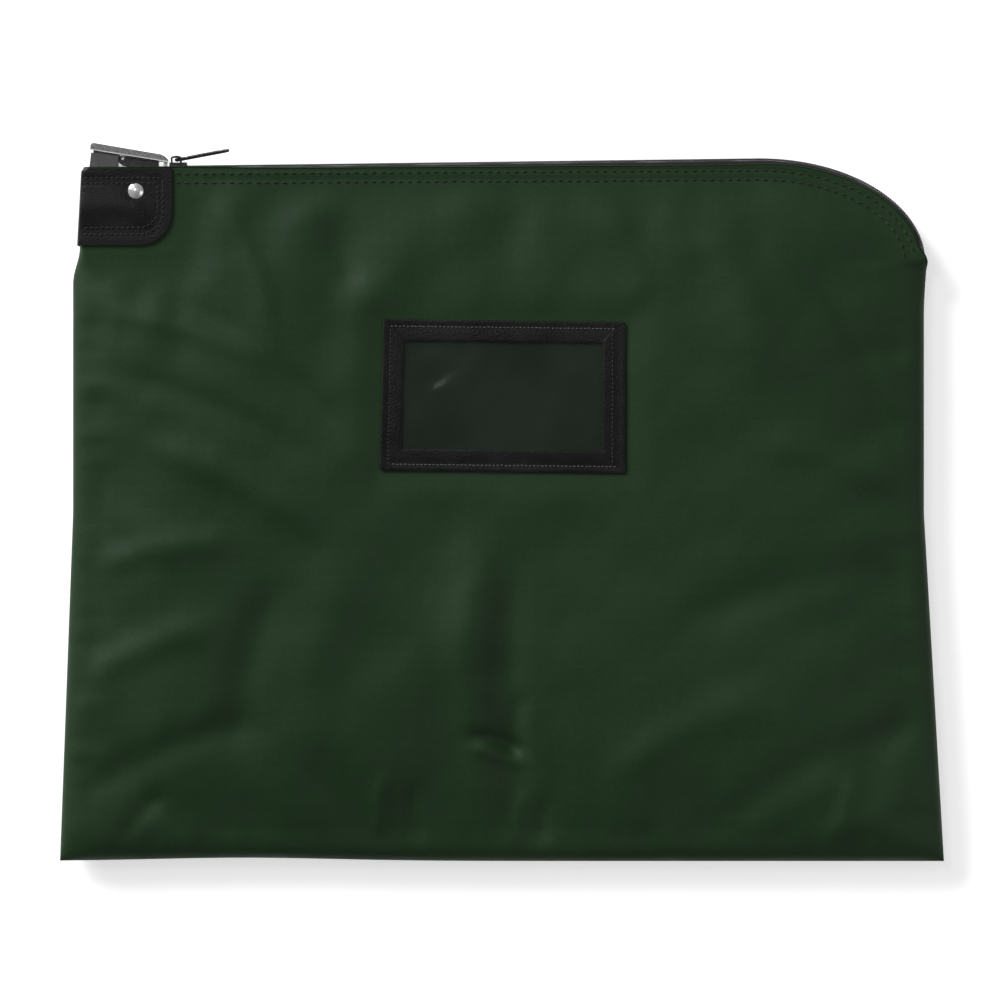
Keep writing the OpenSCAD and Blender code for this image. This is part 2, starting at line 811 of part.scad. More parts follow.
driver_l = 1.7;
module driver_pins() {
  color([0.8, 0.75, 0.6])
    in_lock()
      translate([shear_x + 0.25, 0, 0])
        each_stack()
          cylinder(h = driver_l, r = pin_r);
}

// a round wire wound into an open coil along z
module coil_spring(r, wire, length, turns, per_turn, sides) {
  n = turns * per_turn;
  points = [for (i = [0:n]) let (a = 360 * i / per_turn, z = wire + (length - 2 * wire) * i / n)
    for (k = [0:sides - 1]) let (b = 360 * k / sides, q = r + wire * cos(b))
      [q * cos(a), q * sin(a), z + wire * sin(b)]];
  walls = [for (i = [0:n - 1]) for (k = [0:sides - 1]) let (a = i * sides + k,
    b = i * sides + (k + 1) % sides) each [[a, b, b + sides], [a, b + sides, a + sides]]];
  ends = [[for (k = [sides - 1:-1:0]) k], [for (k = [0:sides - 1]) n * sides + k]];
  polyhedron(points, concat([for (f = walls) [f[2], f[1], f[0]]],
    [for (f = ends) [for (k = [len(f) - 1:-1:0]) f[k]]]));
}

module tumbler_springs() {
  spring_x0 = shear_x + 0.25 + driver_l + touch;
  color("silver")
    in_lock()
      translate([spring_x0, 0, 0])
        each_stack()
          coil_spring(pin_r - 0.25, 0.14, strip_x0 - touch - spring_x0, 3, 12, 6);
}

module tumbler_cover_strip() {
  color([0.6, 0.6, 0.6])
    in_lock()
      box([strip_x0 + touch, stack_y0 - 1.6 + touch, -1.5 + touch],
        [post_x1, stack_y0 + (stack_n - 1) * stack_pitch + 1.3 - touch, 1.5 - touch]);
}

module lock_bolt() {
  slot_w = crank_pin_r + 0.12;
  color([0.7, 0.7, 0.7])
    in_lock()
      difference() {
        box([bolt_x0, bolt_y0, -bolt_half], [post_x1 - touch, bolt_y0 + bolt_h, bolt_half]);
        box([plug_x - throw / 2 - slot_w, bolt_y0 - 1, throw / 2 - crank_pin_r - 0.3],
          [plug_x - throw / 2 + slot_w, bolt_y0 + bolt_h + 1, crank_r + crank_pin_r + 0.2]);
      }
}

module popup_spring() {
  wire = 0.45;
  color("silver")
    in_lock()
      translate([spring_x, well_y0 + touch, 0])
        rotate([-90, 0, 0])
          coil_spring(spring_bore_r - wire - 0.5, wire, spring_top - well_y0 - 2 * touch, 5, 16, 8);
}

front_panel();
back_panel();
left_seam_binding();
right_seam_binding();
bottom_seam_binding();
front_zipper_tape();
back_zipper_tape();
front_tape_hem();
back_tape_hem();
front_zipper_coil();
back_zipper_coil();
zipper_end_stop();
slider_body();
slider_pull_tab();
lock_patch();
rivet_cap();
rivet_post();
window_frame();
window_pane();
lock_housing();
lock_cover_plate();
lock_plunger();
lock_hood();
latch_plate();
hood_pin();
key_plug();
key_pins();
driver_pins();
tumbler_springs();
tumbler_cover_strip();
lock_bolt();
popup_spring();
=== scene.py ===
"""Looks for the locking cash deposit bag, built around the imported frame. Metres, in the row frame."""
import math

import bpy
import numpy as np
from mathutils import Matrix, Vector
from mathutils.bvhtree import BVHTree


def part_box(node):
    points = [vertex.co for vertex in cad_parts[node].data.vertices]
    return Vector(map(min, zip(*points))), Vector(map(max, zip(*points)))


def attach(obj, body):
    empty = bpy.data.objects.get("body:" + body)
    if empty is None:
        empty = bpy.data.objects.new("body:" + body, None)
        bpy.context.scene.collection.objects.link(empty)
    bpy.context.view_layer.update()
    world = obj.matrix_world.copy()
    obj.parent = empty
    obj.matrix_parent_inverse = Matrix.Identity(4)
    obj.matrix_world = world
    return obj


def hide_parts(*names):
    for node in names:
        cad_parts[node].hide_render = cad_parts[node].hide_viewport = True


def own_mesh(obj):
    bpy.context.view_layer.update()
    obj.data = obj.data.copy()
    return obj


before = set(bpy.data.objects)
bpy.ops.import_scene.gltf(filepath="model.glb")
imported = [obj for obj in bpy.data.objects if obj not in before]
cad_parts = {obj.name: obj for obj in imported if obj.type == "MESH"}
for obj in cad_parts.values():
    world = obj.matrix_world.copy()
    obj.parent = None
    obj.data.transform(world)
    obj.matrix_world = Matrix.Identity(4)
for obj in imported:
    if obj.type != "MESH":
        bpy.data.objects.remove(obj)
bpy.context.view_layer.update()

MM = 0.001
rng = np.random.default_rng(20)

# ---- places from the frame ----
panel_lo, panel_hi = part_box("front_panel")
coil_lo, coil_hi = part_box("front_zipper_coil")
patch_lo, patch_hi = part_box("lock_patch")
window_lo, window_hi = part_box("window_frame")
rivet_lo, rivet_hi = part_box("rivet_cap")

BAG_T = panel_hi.z
MID = BAG_T / 2
CLOTH_T = 0.8 * MM
VINYL_T = 1.2 * MM
CORNER_W = 91.5 * MM          # the mouth's curved corner, across and up
CORNER_H = 56 * MM
CORNER_OUT = 2.5 * MM         # the zipper runs this far outside it
COIL_H = 1.4 * MM
Y_BOTTOM = panel_lo.y
Y_TOP = panel_hi.y
CORNER_Y = Y_TOP - CORNER_H
CHAIN_W = CORNER_W + CORNER_OUT
CORNER_X = coil_hi.x - COIL_H - CHAIN_W
CHAIN_H = coil_hi.y - COIL_H - CORNER_Y
PATCH_X1 = patch_hi.x
PATCH_X0 = patch_lo.x
MOUTH_DROP = Y_TOP - patch_hi.y
MOUTH_LEN = CORNER_X - PATCH_X1
CHAIN_DROP = 4.3 * MM
CHAIN_SLOPE = math.atan(CHAIN_DROP / MOUTH_LEN)
SIDE_LEFT = -246.5 * MM       # the sides above the waist
SIDE_RIGHT = 242.5 * MM
Y_WAIST = Y_BOTTOM + 200 * MM
HALF_BOTTOM = panel_hi.x
ROLL_W = 24 * MM              # the round roll along the sides and the bottom
LOCK_ROLL = 2.5 * MM          # and beside the lock
MOUTH_HALF = patch_hi.z - VINYL_T - 0.1 * MM - MID
RIVET = (rivet_lo + rivet_hi) / 2


# ---- small helpers ----
def smooth(t):
    t = np.clip(t, 0, 1)
    return t * t * (3 - 2 * t)


def mix(a, b, t):
    return a + (b - a) * t


def link_mesh(name, points, faces):
    """A new smooth mesh object from points and faces."""
    mesh = bpy.data.meshes.new(name)
    mesh.from_pydata([tuple(p) for p in points], [], [tuple(f) for f in faces])
    mesh.validate()
    mesh.update()
    obj = bpy.data.objects.new(name, mesh)
    bpy.context.scene.collection.objects.link(obj)
    mesh.polygons.foreach_set("use_smooth", [True] * len(mesh.polygons))
    return obj


def grid_faces(rows, cols, wrap=False, flip=False):
    """Quads over a rows x cols grid of points; wrap joins the last column to the first."""
    faces = []
    for i in range(rows - 1):
        for j in range(cols if wrap else cols - 1):
            k = (j + 1) % cols
            face = (i * cols + j, i * cols + k, (i + 1) * cols + k, (i + 1) * cols + j)
            faces.append(face[::-1] if flip else face)
    return faces


def tube_faces(rings, sides):
    """Quads round a tube of so many rings, and its two end caps."""
    last = (rings - 1) * sides
    caps = [tuple(range(sides))[::-1], tuple(range(last, last + sides))]
    return grid_faces(rings, sides, wrap=True) + caps


def modify(obj, kind, **settings):
    """Adds a modifier, sets it and applies it to the mesh."""
    mod = obj.modifiers.new(kind.lower(), kind)
    for key, value in settings.items():
        setattr(mod, key, value)
    depsgraph = bpy.context.evaluated_depsgraph_get()
    mesh = bpy.data.meshes.new_from_object(obj.evaluated_get(depsgraph))
    obj.modifiers.clear()
    old = obj.data
    obj.data = mesh
    bpy.data.meshes.remove(old)
    return obj


def blur(field, sigma):
    """Gaussian blur of a 2-D array, with its edges held."""
    n = max(1, int(3 * sigma))
    kernel = np.exp(-0.5 * (np.arange(-n, n + 1) / sigma) ** 2)
    kernel /= kernel.sum()
    for axis in (0, 1):
        pad = [(n, n) if a == axis else (0, 0) for a in (0, 1)]
        wide = np.pad(field, pad, mode="edge")
        field = np.apply_along_axis(lambda line: np.convolve(line, kernel, "valid"), axis, wide)
    return field


# ---- materials ----
def new_material(name, color, **inputs):
    """A Principled material with its constants on the shader's own sockets."""
    m = bpy.data.materials.new(name)
    m.use_nodes = True
    tree = m.node_tree
    shader = tree.nodes["Principled BSDF"]
    shader.inputs["Base Color"].default_value = (*color, 1)
    for key, value in inputs.items():
        shader.inputs[key.replace("_", " ")].default_value = value
    coords = tree.nodes.new("ShaderNodeTexCoord").outputs["Object"]
    return m, tree, shader, coords


def noise(tree, coords, scale, detail=3.0, roughness=0.55, stretch=None):
    """Noise over the object's own coordinates, perhaps stretched along an axis."""
    source = coords
    if stretch:
        mapping = tree.nodes.new("ShaderNodeMapping")
        mapping.inputs["Scale"].default_value = stretch
        tree.links.new(coords, mapping.inputs["Vector"])
        source = mapping.outputs["Vector"]
    node = tree.nodes.new("ShaderNodeTexNoise")
    node.inputs["Scale"].default_value = scale
    node.inputs["Detail"].default_value = detail
    node.inputs["Roughness"].default_value = roughness
    tree.links.new(source, node.inputs["Vector"])
    return node.outputs["Fac"]


def bands(tree, coords, period, axis, distortion=0.0):
    """Evenly spaced threads along one axis, period metres apart."""
    node = tree.nodes.new("ShaderNodeTexWave")
    node.bands_direction = axis
    node.inputs["Scale"].default_value = 2 * math.pi / 20 / period
    node.inputs["Distortion"].default_value = distortion
    tree.links.new(coords, node.inputs["Vector"])
    return node.outputs["Fac"]


def math_node(tree, kind, a, b):
    node = tree.nodes.new("ShaderNodeMath")
    node.operation = kind
    for socket, value in zip(node.inputs, (a, b)):
        if isinstance(value, (int, float)):
            socket.default_value = value
        else:
            tree.links.new(value, socket)
    return node.outputs[0]


def weigh(tree, a, share_a, b, share_b):
    """The sum of two shader values, each times its share."""
    a = math_node(tree, "MULTIPLY", a, share_a)
    b = math_node(tree, "MULTIPLY", b, share_b)
    return math_node(tree, "ADD", a, b)


def ramp(tree, factor, stops):
    """A colour ramp: stops are (place, linear colour)."""
    node = tree.nodes.new("ShaderNodeValToRGB")
    elements = node.color_ramp.elements
    while len(elements) < len(stops):
        elements.new(0.5)
    for element, (place, color) in zip(elements, stops):
        element.position = place
        element.color = (*color, 1)
    tree.links.new(factor, node.inputs["Fac"])
    return node.outputs["Color"]


def remap(tree, value, *limits):
    """Maps a value from its first two limits to its last two."""
    node = tree.nodes.new("ShaderNodeMapRange")
    for key, limit in zip(("From Min", "From Max", "To Min", "To Max"), limits):
        node.inputs[key].default_value = limit
    tree.links.new(value, node.inputs["Value"])
    return node.outputs["Result"]


def spread(tree, factor, low, high):
    """Maps a noise value, which stays near its middle, to low..high."""
    return remap(tree, factor, 0.3, 0.7, low, high)


def tint(tree, shader, factor, stops):
    tree.links.new(ramp(tree, factor, stops), shader.inputs["Base Color"])


def roughen(tree, shader, factor, low, high):
    tree.links.new(spread(tree, factor, low, high), shader.inputs["Roughness"])


def add_bump(tree, shader, height, distance, strength=1.0):
    node = tree.nodes.new("ShaderNodeBump")
    node.inputs["Distance"].default_value = distance
    node.inputs["Strength"].default_value = strength
    tree.links.new(height, node.inputs["Height"])
    tree.links.new(node.outputs["Normal"], shader.inputs["Normal"])


def shades(color, dark, light):
    return tuple(c * dark for c in color), color, tuple(min(1, c * light) for c in color)


def cloth_material():
    """Laminated nylon: a fine plain weave under a thin film, with soft mottling."""
    green = (0.0125, 0.0335, 0.0115)
    m, tree, shader, coords = new_material("laminated_nylon", green, Roughness=0.5, Specular_IOR_Level=0.16)
    dark, base, light = shades(green, 0.86, 1.16)
    patches = noise(tree, coords, 9.0, 3.0)
    grain = noise(tree, coords, 620.0, 2.0)
    both = weigh(tree, patches, 0.55, grain, 0.45)
    tint(tree, shader, both, [(0.34, dark), (0.5, base), (0.66, light)])
    roughen(tree, shader, noise(tree, coords, 40.0), 0.47, 0.62)
    weave = math_node(tree, "ADD", bands(tree, coords, 0.00062, "X"), bands(tree, coords, 0.00062, "Y"))
    height = math_node(tree, "ADD", math_node(tree, "MULTIPLY", weave, 0.5), grain)
    add_bump(tree, shader, height, 0.00010, 0.7)
    return m


def vinyl_material(name, base, roughness, grain_scale=900.0, specular=0.3):
    """Black supported vinyl with a fine leather grain and faint scuffs."""
    m, tree, shader, coords = new_material(name, base, Roughness=roughness, Specular_IOR_Level=specular)
    scuffs = noise(tree, coords, 30.0, 6.0, 0.7)
    dark, mid, light = shades(base, 0.8, 1.5)
    tint(tree, shader, scuffs, [(0.35, dark), (0.55, mid), (0.72, light)])
    roughen(tree, shader, scuffs, roughness - 0.06, roughness + 0.12)
    cells = tree.nodes.new("ShaderNodeTexVoronoi")
    cells.inputs["Scale"].default_value = grain_scale
    tree.links.new(coords, cells.inputs["Vector"])
    height = math_node(tree, "ADD", cells.outputs["Distance"], noise(tree, coords, 250.0, 4.0))
    add_bump(tree, shader, height, 0.00016, 0.55)
    return m


def woven_material(name, base, period):
    """Narrow woven tape with a diagonal rib."""
    m, tree, shader, coords = new_material(name, base, Roughness=0.8, Sheen_Weight=0.1,
                                           Specular_IOR_Level=0.3)
    fuzz = noise(tree, coords, 700.0, 3.0)
    dark, mid, light = shades(base, 0.65, 1.7)
    rib = bands(tree, coords, period, "DIAGONAL", 0.6)
    both = weigh(tree, rib, 0.5, fuzz, 0.5)
    tint(tree, shader, both, [(0.3, dark), (0.5, mid), (0.75, light)])
    roughen(tree, shader, fuzz, 0.7, 0.92)
    add_bump(tree, shader, both, 0.00015, 0.8)
    return m


def thread_material(name, base):
    """Twisted sewing thread."""
    m, tree, shader, coords = new_material(name, base, Roughness=0.7, Sheen_Weight=0.2,
                                           Specular_IOR_Level=0.35)
    twist = bands(tree, coords, 0.00045, "DIAGONAL", 1.2)
    fuzz = noise(tree, coords, 1500.0, 2.0)
    dark, mid, light = shades(base, 0.7, 1.3)
    both = weigh(tree, twist, 0.6, fuzz, 0.4)
    tint(tree, shader, both, [(0.25, dark), (0.5, mid), (0.8, light)])
    add_bump(tree, shader, both, 0.0001, 0.8)
    return m


def metal_material(name, base, roughness, grit, grit_scale, metallic=1.0, brushed=None, worn=1.5):
    """Metal or enamel with its casting grit or brush marks, and lighter rubbed places."""
    m, tree, shader, coords = new_material(name, base, Roughness=roughness, Metallic=metallic)
    fine = noise(tree, coords, grit_scale, 4.0, 0.6, brushed)
    rubbed = noise(tree, coords, 120.0, 5.0, 0.7)
    dark, mid, light = shades(base, 0.75, worn)
    tint(tree, shader, rubbed, [(0.36, dark), (0.52, mid), (0.7, light)])
    roughen(tree, shader, fine, max(0.04, roughness - 0.1), roughness + 0.12)
    add_bump(tree, shader, fine, grit, 0.8)
    return m


def hood_material(highlight_level):
    """Grey cast zinc, with a near-white painted highlight along the hood's lower edge and nose."""
    base = (0.165, 0.165, 0.165)
    m, tree, shader, coords = new_material("cast_hood", base, Roughness=0.55, Metallic=0.35)
    mapping = tree.nodes.new("ShaderNodeMapping")
    mapping.inputs["Rotation"].default_value = (0, 0, HOOD_EDGE_TILT)
    tree.links.new(coords, mapping.inputs["Vector"])
    split = tree.nodes.new("ShaderNodeSeparateXYZ")
    tree.links.new(mapping.outputs["Vector"], split.inputs["Vector"])
    grit = noise(tree, coords, 1100.0, 4.0, 0.7)
    level = math_node(tree, "ADD", split.outputs["Y"], math_node(tree, "MULTIPLY", grit, 0.0006))
    rise = remap(tree, level, highlight_level, highlight_level + 0.0005)
    cast = ramp(tree, grit, [(0.3, (0.07, 0.07, 0.07)), (0.5, base), (0.75, (0.34, 0.34, 0.34))])
    # below the level the colour is near-white: a painted highlight along the hood's lower edge
    blend = tree.nodes.new("ShaderNodeMix")
    blend.data_type = "RGBA"
    tree.links.new(rise, blend.inputs["Factor"])
    blend.inputs["A"].default_value = (0.95, 0.95, 0.95, 1)
    tree.links.new(cast, blend.inputs["B"])
    tree.links.new(blend.outputs["Result"], shader.inputs["Base Color"])
    tree.links.new(remap(tree, rise, 0, 1, 0.22, 0.6), shader.inputs["Roughness"])
    add_bump(tree, shader, math_node(tree, "MULTIPLY", grit, rise), 0.0002, 0.8)
    return m


def pane_material():
    """Clear soft vinyl, a little hazy, with slow waves in its surface."""
    m, tree, shader, coords = new_material("clear_vinyl", (0.018, 0.022, 0.019), Roughness=0.09, Alpha=0.3,
                                           Specular_IOR_Level=0.6)
    haze = noise(tree, coords, 22.0, 2.0, 0.4)
    tint(tree, shader, haze, [(0.35, (0.012, 0.016, 0.013)), (0.65, (0.026, 0.031, 0.027))])
    roughen(tree, shader, haze, 0.07, 0.14)
    add_bump(tree, shader, noise(tree, coords, 34.0, 1.0, 0.3, (1, 1.6, 1)), 0.0022, 0.6)
    return m


LOCK_TILT = math.radians(6.5)
HOOD_EDGE_TILT = LOCK_TILT + math.atan(1.9 / 42.5)    # the hood's lower edge runs a little steeper
BLACK = (0.008, 0.008, 0.008)
mat_cloth = cloth_material()
mat_vinyl = vinyl_material("patch_vinyl", (0.0055, 0.0055, 0.0057), 0.36, specular=0.2)
# a lighter grey for the vinyl's cut rims: a painted highlight along the edges
mat_rim_highlight = vinyl_material("vinyl_rim_highlight", (0.048, 0.045, 0.046), 0.6)
mat_frame = vinyl_material("frame_vinyl", (0.0042, 0.0042, 0.0042), 0.34)
mat_tape = woven_material("zipper_tape_weave", BLACK, 0.0011)
mat_binding = woven_material("binding_weave", (0.014, 0.014, 0.014), 0.0015)
mat_coil = metal_material("nylon_coil", (0.004, 0.004, 0.004), 0.5, 0.00003, 900.0, metallic=0.0)
mat_green_thread = thread_material("green_thread", (0.003, 0.0095, 0.0035))
mat_black_thread = thread_material("black_thread", (0.0012, 0.0012, 0.0012))
mat_gray_thread = thread_material("gray_thread", (0.10, 0.11, 0.10))
mat_side_thread = thread_material("side_thread", (0.028, 0.030, 0.028))
mat_enamel = metal_material("black_enamel", (0.008, 0.008, 0.0083), 0.25, 0.00003, 400.0,
                            metallic=0.0, worn=2.4)
mat_nickel = metal_material("nickel_plate", (0.78, 0.78, 0.79), 0.26, 0.00002, 500.0,
                            metallic=0.55, worn=1.15)
mat_zinc = metal_material("cast_zinc", (0.075, 0.075, 0.075), 0.52, 0.00022, 900.0,
                          metallic=0.3, worn=1.7)
mat_steel = metal_material("plated_steel", (0.55, 0.55, 0.56), 0.26, 0.00004, 300.0,
                           brushed=(1, 14, 1), worn=1.2)
mat_brass = metal_material("turned_brass", (0.60, 0.43, 0.18), 0.28, 0.00003, 260.0,
                           brushed=(12, 1, 12), worn=1.2)
mat_pane = pane_material()


# ---- the bag's shape, as the CAD has it ----
PATCH_LEAN = 2.4 * MM         # the patch's left edge leans in towards its top
END_BULGE = 4.2 * MM          # the cloth swells out over the zipper's end


def lock_blend(y):
    """0 below the lock's corner and 1 beside the lock, where the side draws in."""
    return smooth((y - (patch_lo.y - 21 * MM)) / (20 * MM))


def lean(y):
    return PATCH_LEAN * np.clip((y - patch_lo.y) / (patch_hi.y - patch_lo.y), 0, 1)


def row_edges(y, corner):
    """Left and right edge of a row of the panel; corner is the angle on the curved corner, or nan."""
    low = (y - Y_BOTTOM) / (Y_WAIST - Y_BOTTOM)
    left = np.where(y < Y_WAIST, mix(-HALF_BOTTOM, SIDE_LEFT, low), SIDE_LEFT)
    left = mix(left, PATCH_X0 + VINYL_T + 0.05 * MM + lean(y), lock_blend(y))
    right = np.where(y < Y_WAIST, mix(HALF_BOTTOM, SIDE_RIGHT, low),
                     mix(SIDE_RIGHT, CORNER_X + CORNER_W + END_BULGE,
                         smooth((y - CORNER_Y + 30 * MM) / (30 * MM))))
    on_corner = ~np.isnan(corner)
    angle = np.where(on_corner, corner, 0)
    swell = END_BULGE * smooth((angle - 1.40) / 0.15)
    right = np.where(on_corner, CORNER_X + CORNER_W * np.sin(angle) + swell, right)
    return left, right


def mouth_gap(x, y):
    """How far a point is from the mouth's edge."""
    straight = Y_TOP - y
    below = CORNER_Y - y + np.maximum(0, CORNER_X + CORNER_W - x)
    curved = CORNER_H * (1 - np.hypot((x - CORNER_X) / CORNER_W, (y - CORNER_Y) / CORNER_H))
    return np.where(x < CORNER_X, straight, np.where(y < CORNER_Y, below, curved))


def half_thickness(x, y):
    """Half the bag's thickness, which falls towards the mouth and the lock."""
    lock = np.hypot(np.maximum(0, x - PATCH_X1), np.maximum(0, patch_lo.y - y))
    gap = np.minimum(mouth_gap(x, y), lock)
    return mix(MID, MOUTH_HALF, 1 - smooth((gap - 8 * MM) / (26 * MM)))


BOTTOM_RISE = 1.9 * MM        # and the bottom seam is drawn up a little on its left
EDGE_DIP = 1.0 * MM           # the hem sags a little below the zipper
ROLL_STEPS = 10
CORNER_STEPS = 26
STEP = 3.7 * MM


def panel_grid():
    """Dense grid over the front panel: x, y, z, the side and bottom roll, and 1 on open mouth rows."""
    angles = np.linspace(0, np.pi / 2, ROLL_STEPS + 1)
    roll_y = Y_BOTTOM + ROLL_W * (1 - np.cos(angles))
    end_y = CORNER_Y - 4 * MM
    n_mid = int((end_y - roll_y[-1]) / STEP)
    mid_y = np.linspace(roll_y[-1], end_y, n_mid + 1)[1:]
    corner = np.linspace(np.pi / 2, 0, CORNER_STEPS + 1)
    y = np.concatenate([roll_y, mid_y, CORNER_Y + CORNER_H * np.cos(corner)])
    t = np.concatenate([np.full(len(roll_y) + len(mid_y), np.nan), corner])
    bottom = np.concatenate([np.sin(angles), np.ones(len(y) - len(angles))])
    left, right = row_edges(y, t)
    open_row = (~np.isnan(t)).astype(float)
    roll_left = mix(ROLL_W, LOCK_ROLL, lock_blend(y))
    n_across = int((SIDE_RIGHT - SIDE_LEFT - 2 * ROLL_W) / STEP)
    frac = np.linspace(0, 1, n_across + 1)[1:-1]
    xs, side = [], []
    for i in range(len(y)):
        a = left[i] + roll_left[i] * (1 - np.cos(angles))
        c = right[i] - ROLL_W * (1 - np.cos(angles[::-1]))
        xs.append(np.concatenate([a, mix(a[-1], c[0], frac), c]))
        rolled = np.sin(angles[::-1])
        side.append(np.concatenate([np.sin(angles), np.ones(len(frac)),
                                    np.maximum(rolled, open_row[i])]))
    x = np.array(xs)
    yy = np.repeat(y[:, None], x.shape[1], 1)
    shift = (np.nan_to_num(open_row)[:, None] * (yy - CORNER_Y) / CORNER_H
             * -MOUTH_DROP * np.maximum(0, CORNER_X - x) / MOUTH_LEN)
    middle = smooth((x + 185 * MM) / (60 * MM)) * (1 - smooth((x - 110 * MM) / (70 * MM)))
    shift -= EDGE_DIP * middle * open_row[:, None] * np.clip((yy - CORNER_Y) / CORNER_H, 0, 1)
    shift += BOTTOM_RISE * np.exp(-((x + 0.148) / 0.075) ** 2) * np.clip(1 - (yy - Y_BOTTOM) / 0.07, 0, 1)
    rolls = np.array(side) * bottom[:, None]
    height = half_thickness(x, yy) * rolls
    return x, yy + shift, height, rolls, open_row


GX, GY, GH, ROLLS, OPEN_ROW = panel_grid()
ROWS, COLS = GX.shape
SIDE_GAP = np.minimum(GX - GX[:, :1], GX[:, -1:] - GX)
BOTTOM_GAP = GY - GY[:1, :]


# ---- soft folds, as fractions of the bag: (x0, y0, x1, y1, width mm, height mm) ----
WIDE, HIGH = 2 * HALF_BOTTOM, Y_TOP - Y_BOTTOM
FRONT_FOLDS = [
    (0.485, 0.03, 0.475, 0.46, 15, 2.6), (0.52, 0.06, 0.512, 0.42, 10, -2.0),
    (0.27, 0.10, 0.33, 0.44, 18, 2.0), (0.20, 0.16, 0.245, 0.40, 11, -1.7),
    (0.10, 0.60, 0.30, 0.47, 10, 1.7), (0.06, 0.70, 0.28, 0.58, 8, -1.5),
    (0.05, 0.79, 0.25, 0.71, 7, 1.4), (0.14, 0.80, 0.33, 0.60, 8, -1.3),
    (0.19, 0.93, 0.24, 0.76, 6, 1.2), (0.30, 0.93, 0.33, 0.82, 9, -1.0),
    (0.62, 0.93, 0.66, 0.80, 10, 1.1), (0.72, 0.92, 0.80, 0.72, 12, 1.5),
    (0.84, 0.86, 0.93, 0.66, 8, -1.5), (0.90, 0.72, 0.965, 0.62, 6, 1.6),
    (0.80, 0.60, 0.97, 0.52, 10, 1.4), (0.70, 0.34, 0.96, 0.42, 12, -1.5),
    (0.62, 0.12, 0.80, 0.24, 12, 1.5), (0.74, 0.05, 0.97, 0.20, 10, -1.6),
    (0.03, 0.26, 0.17, 0.34, 9, 1.5), (0.03, 0.10, 0.22, 0.20, 9, -1.5),
    (0.04, 0.42, 0.20, 0.46, 8, 1.2), (0.46, 0.182, 0.525, 0.158, 3.4, -1.9),
    (0.47, 0.166, 0.52, 0.140, 3.4, 1.5), (0.512, 0.15, 0.522, 0.24, 4.5, -1.3),
    (0.36, 0.03, 0.37, 0.13, 4, 1.2),
    (0.405, 0.02, 0.40, 0.11, 3.5, -1.1), (0.52, 0.02, 0.525, 0.10, 3.5, 1.1),
    (0.545, 0.02, 0.55, 0.09, 3.5, -1.0), (0.88, 0.03, 0.90, 0.12, 5, 1.0),
    (0.07, 0.03, 0.12, 0.10, 5, -1.0), (0.283, 0.095, 0.52, 0.395, 30, 1.6),
    (0.33, 0.76, 0.47, 0.95, 20, 1.4),
]
BACK_FOLDS = [
    (0.30, 0.08, 0.36, 0.50, 16, 1.8), (0.62, 0.15, 0.58, 0.55, 14, -1.8),
    (0.06, 0.70, 0.30, 0.55, 10, 1.6), (0.10, 0.80, 0.26, 0.64, 8, -1.4),
    (0.75, 0.85, 0.92, 0.62, 10, 1.5), (0.72, 0.10, 0.95, 0.24, 11, -1.5),
    (0.05, 0.20, 0.22, 0.30, 10, 1.4), (0.45, 0.02, 0.45, 0.10, 4, 1.0),
]


def fold_field(folds):
    """Sum of soft ridges and valleys over the panel's grid."""
    total = np.zeros_like(GX)
    px, py = GX - (-HALF_BOTTOM), GY - Y_BOTTOM
    for x0, y0, x1, y1, width, height in folds:
        ax, ay = x0 * WIDE, y0 * HIGH
        dx, dy = (x1 - x0) * WIDE, (y1 - y0) * HIGH
        length = math.hypot(dx, dy)
        along = ((px - ax) * dx + (py - ay) * dy) / length ** 2
        bow = 0.05 * length * np.sin(np.pi * np.clip(along, 0, 1))
        across = ((px - ax) * -dy + (py - ay) * dx) / length - bow
        ends = np.exp(-(np.maximum(0, np.abs(along - 0.5) - 0.28) / 0.2) ** 2)
        total += height * MM * ends * np.exp(-(across / (width * MM)) ** 2)
    return total


def ripples(seed, count, low, high):
    """Seeded small wrinkles: plane waves with wavelengths from low to high millimetres."""
    local = np.random.default_rng(seed)
    total = np.zeros_like(GX)
    for _ in range(count):
        angle, wave = local.uniform(0, np.pi), local.uniform(low, high) * MM
        phase = local.uniform(0, 2 * np.pi)
        total += np.sin(2 * np.pi * (GX * math.cos(angle) + GY * math.sin(angle)) / wave + phase)
    return total / math.sqrt(count)


def edge_distance():
    """Distance of each grid point from the nearest seam or mouth edge, along its row or column."""
    return np.minimum(np.minimum(SIDE_GAP, BOTTOM_GAP), np.maximum(mouth_gap(GX, GY), 0))


EDGE = edge_distance()


def puckers(seed):
    """Short gathers that run in from the side and bottom seams."""
    local = np.random.default_rng(seed)
    along = np.where(GX - GX[:, :1] < GX[:, -1:] - GX, GY, GY + 0.7)
    bottom = (GY - Y_BOTTOM) < SIDE_GAP
    along = np.where(bottom, GX + 1.9, along)
    total = np.zeros_like(GX)
    for wave in (23, 31, 14, 47):
        total += np.sin(2 * np.pi * along / (wave * MM) + local.uniform(0, 6))
    seam = np.minimum(SIDE_GAP, BOTTOM_GAP)
    patchy = smooth(0.5 + 0.9 * ripples(seed + 40, 6, 60, 140))
    return total * 0.22 * MM * patchy * np.exp(-((seam - 9 * MM) / (12 * MM)) ** 2)


# ---- cloth simulation: the panel is cut a little large, held at its seams, and buckles ----
SIM_STEP = 2                   # of the panel's rows and columns
SIM_FRAMES = 26
SIM_CAP = 5.5 * MM             # no buckle stands higher than this
SIM_EXTRA = 0.008              # the cloth is this share too large
SIM_CLOTH = {"quality": 6, "mass": 0.35, "tension_stiffness": 18, "compression_stiffness": 18,
             "shear_stiffness": 6, "bending_stiffness": 1.6, "air_damping": 2.0,
             "shrink_min": -SIM_EXTRA, "shrink_max": -SIM_EXTRA, "vertex_group_mass": "held"}


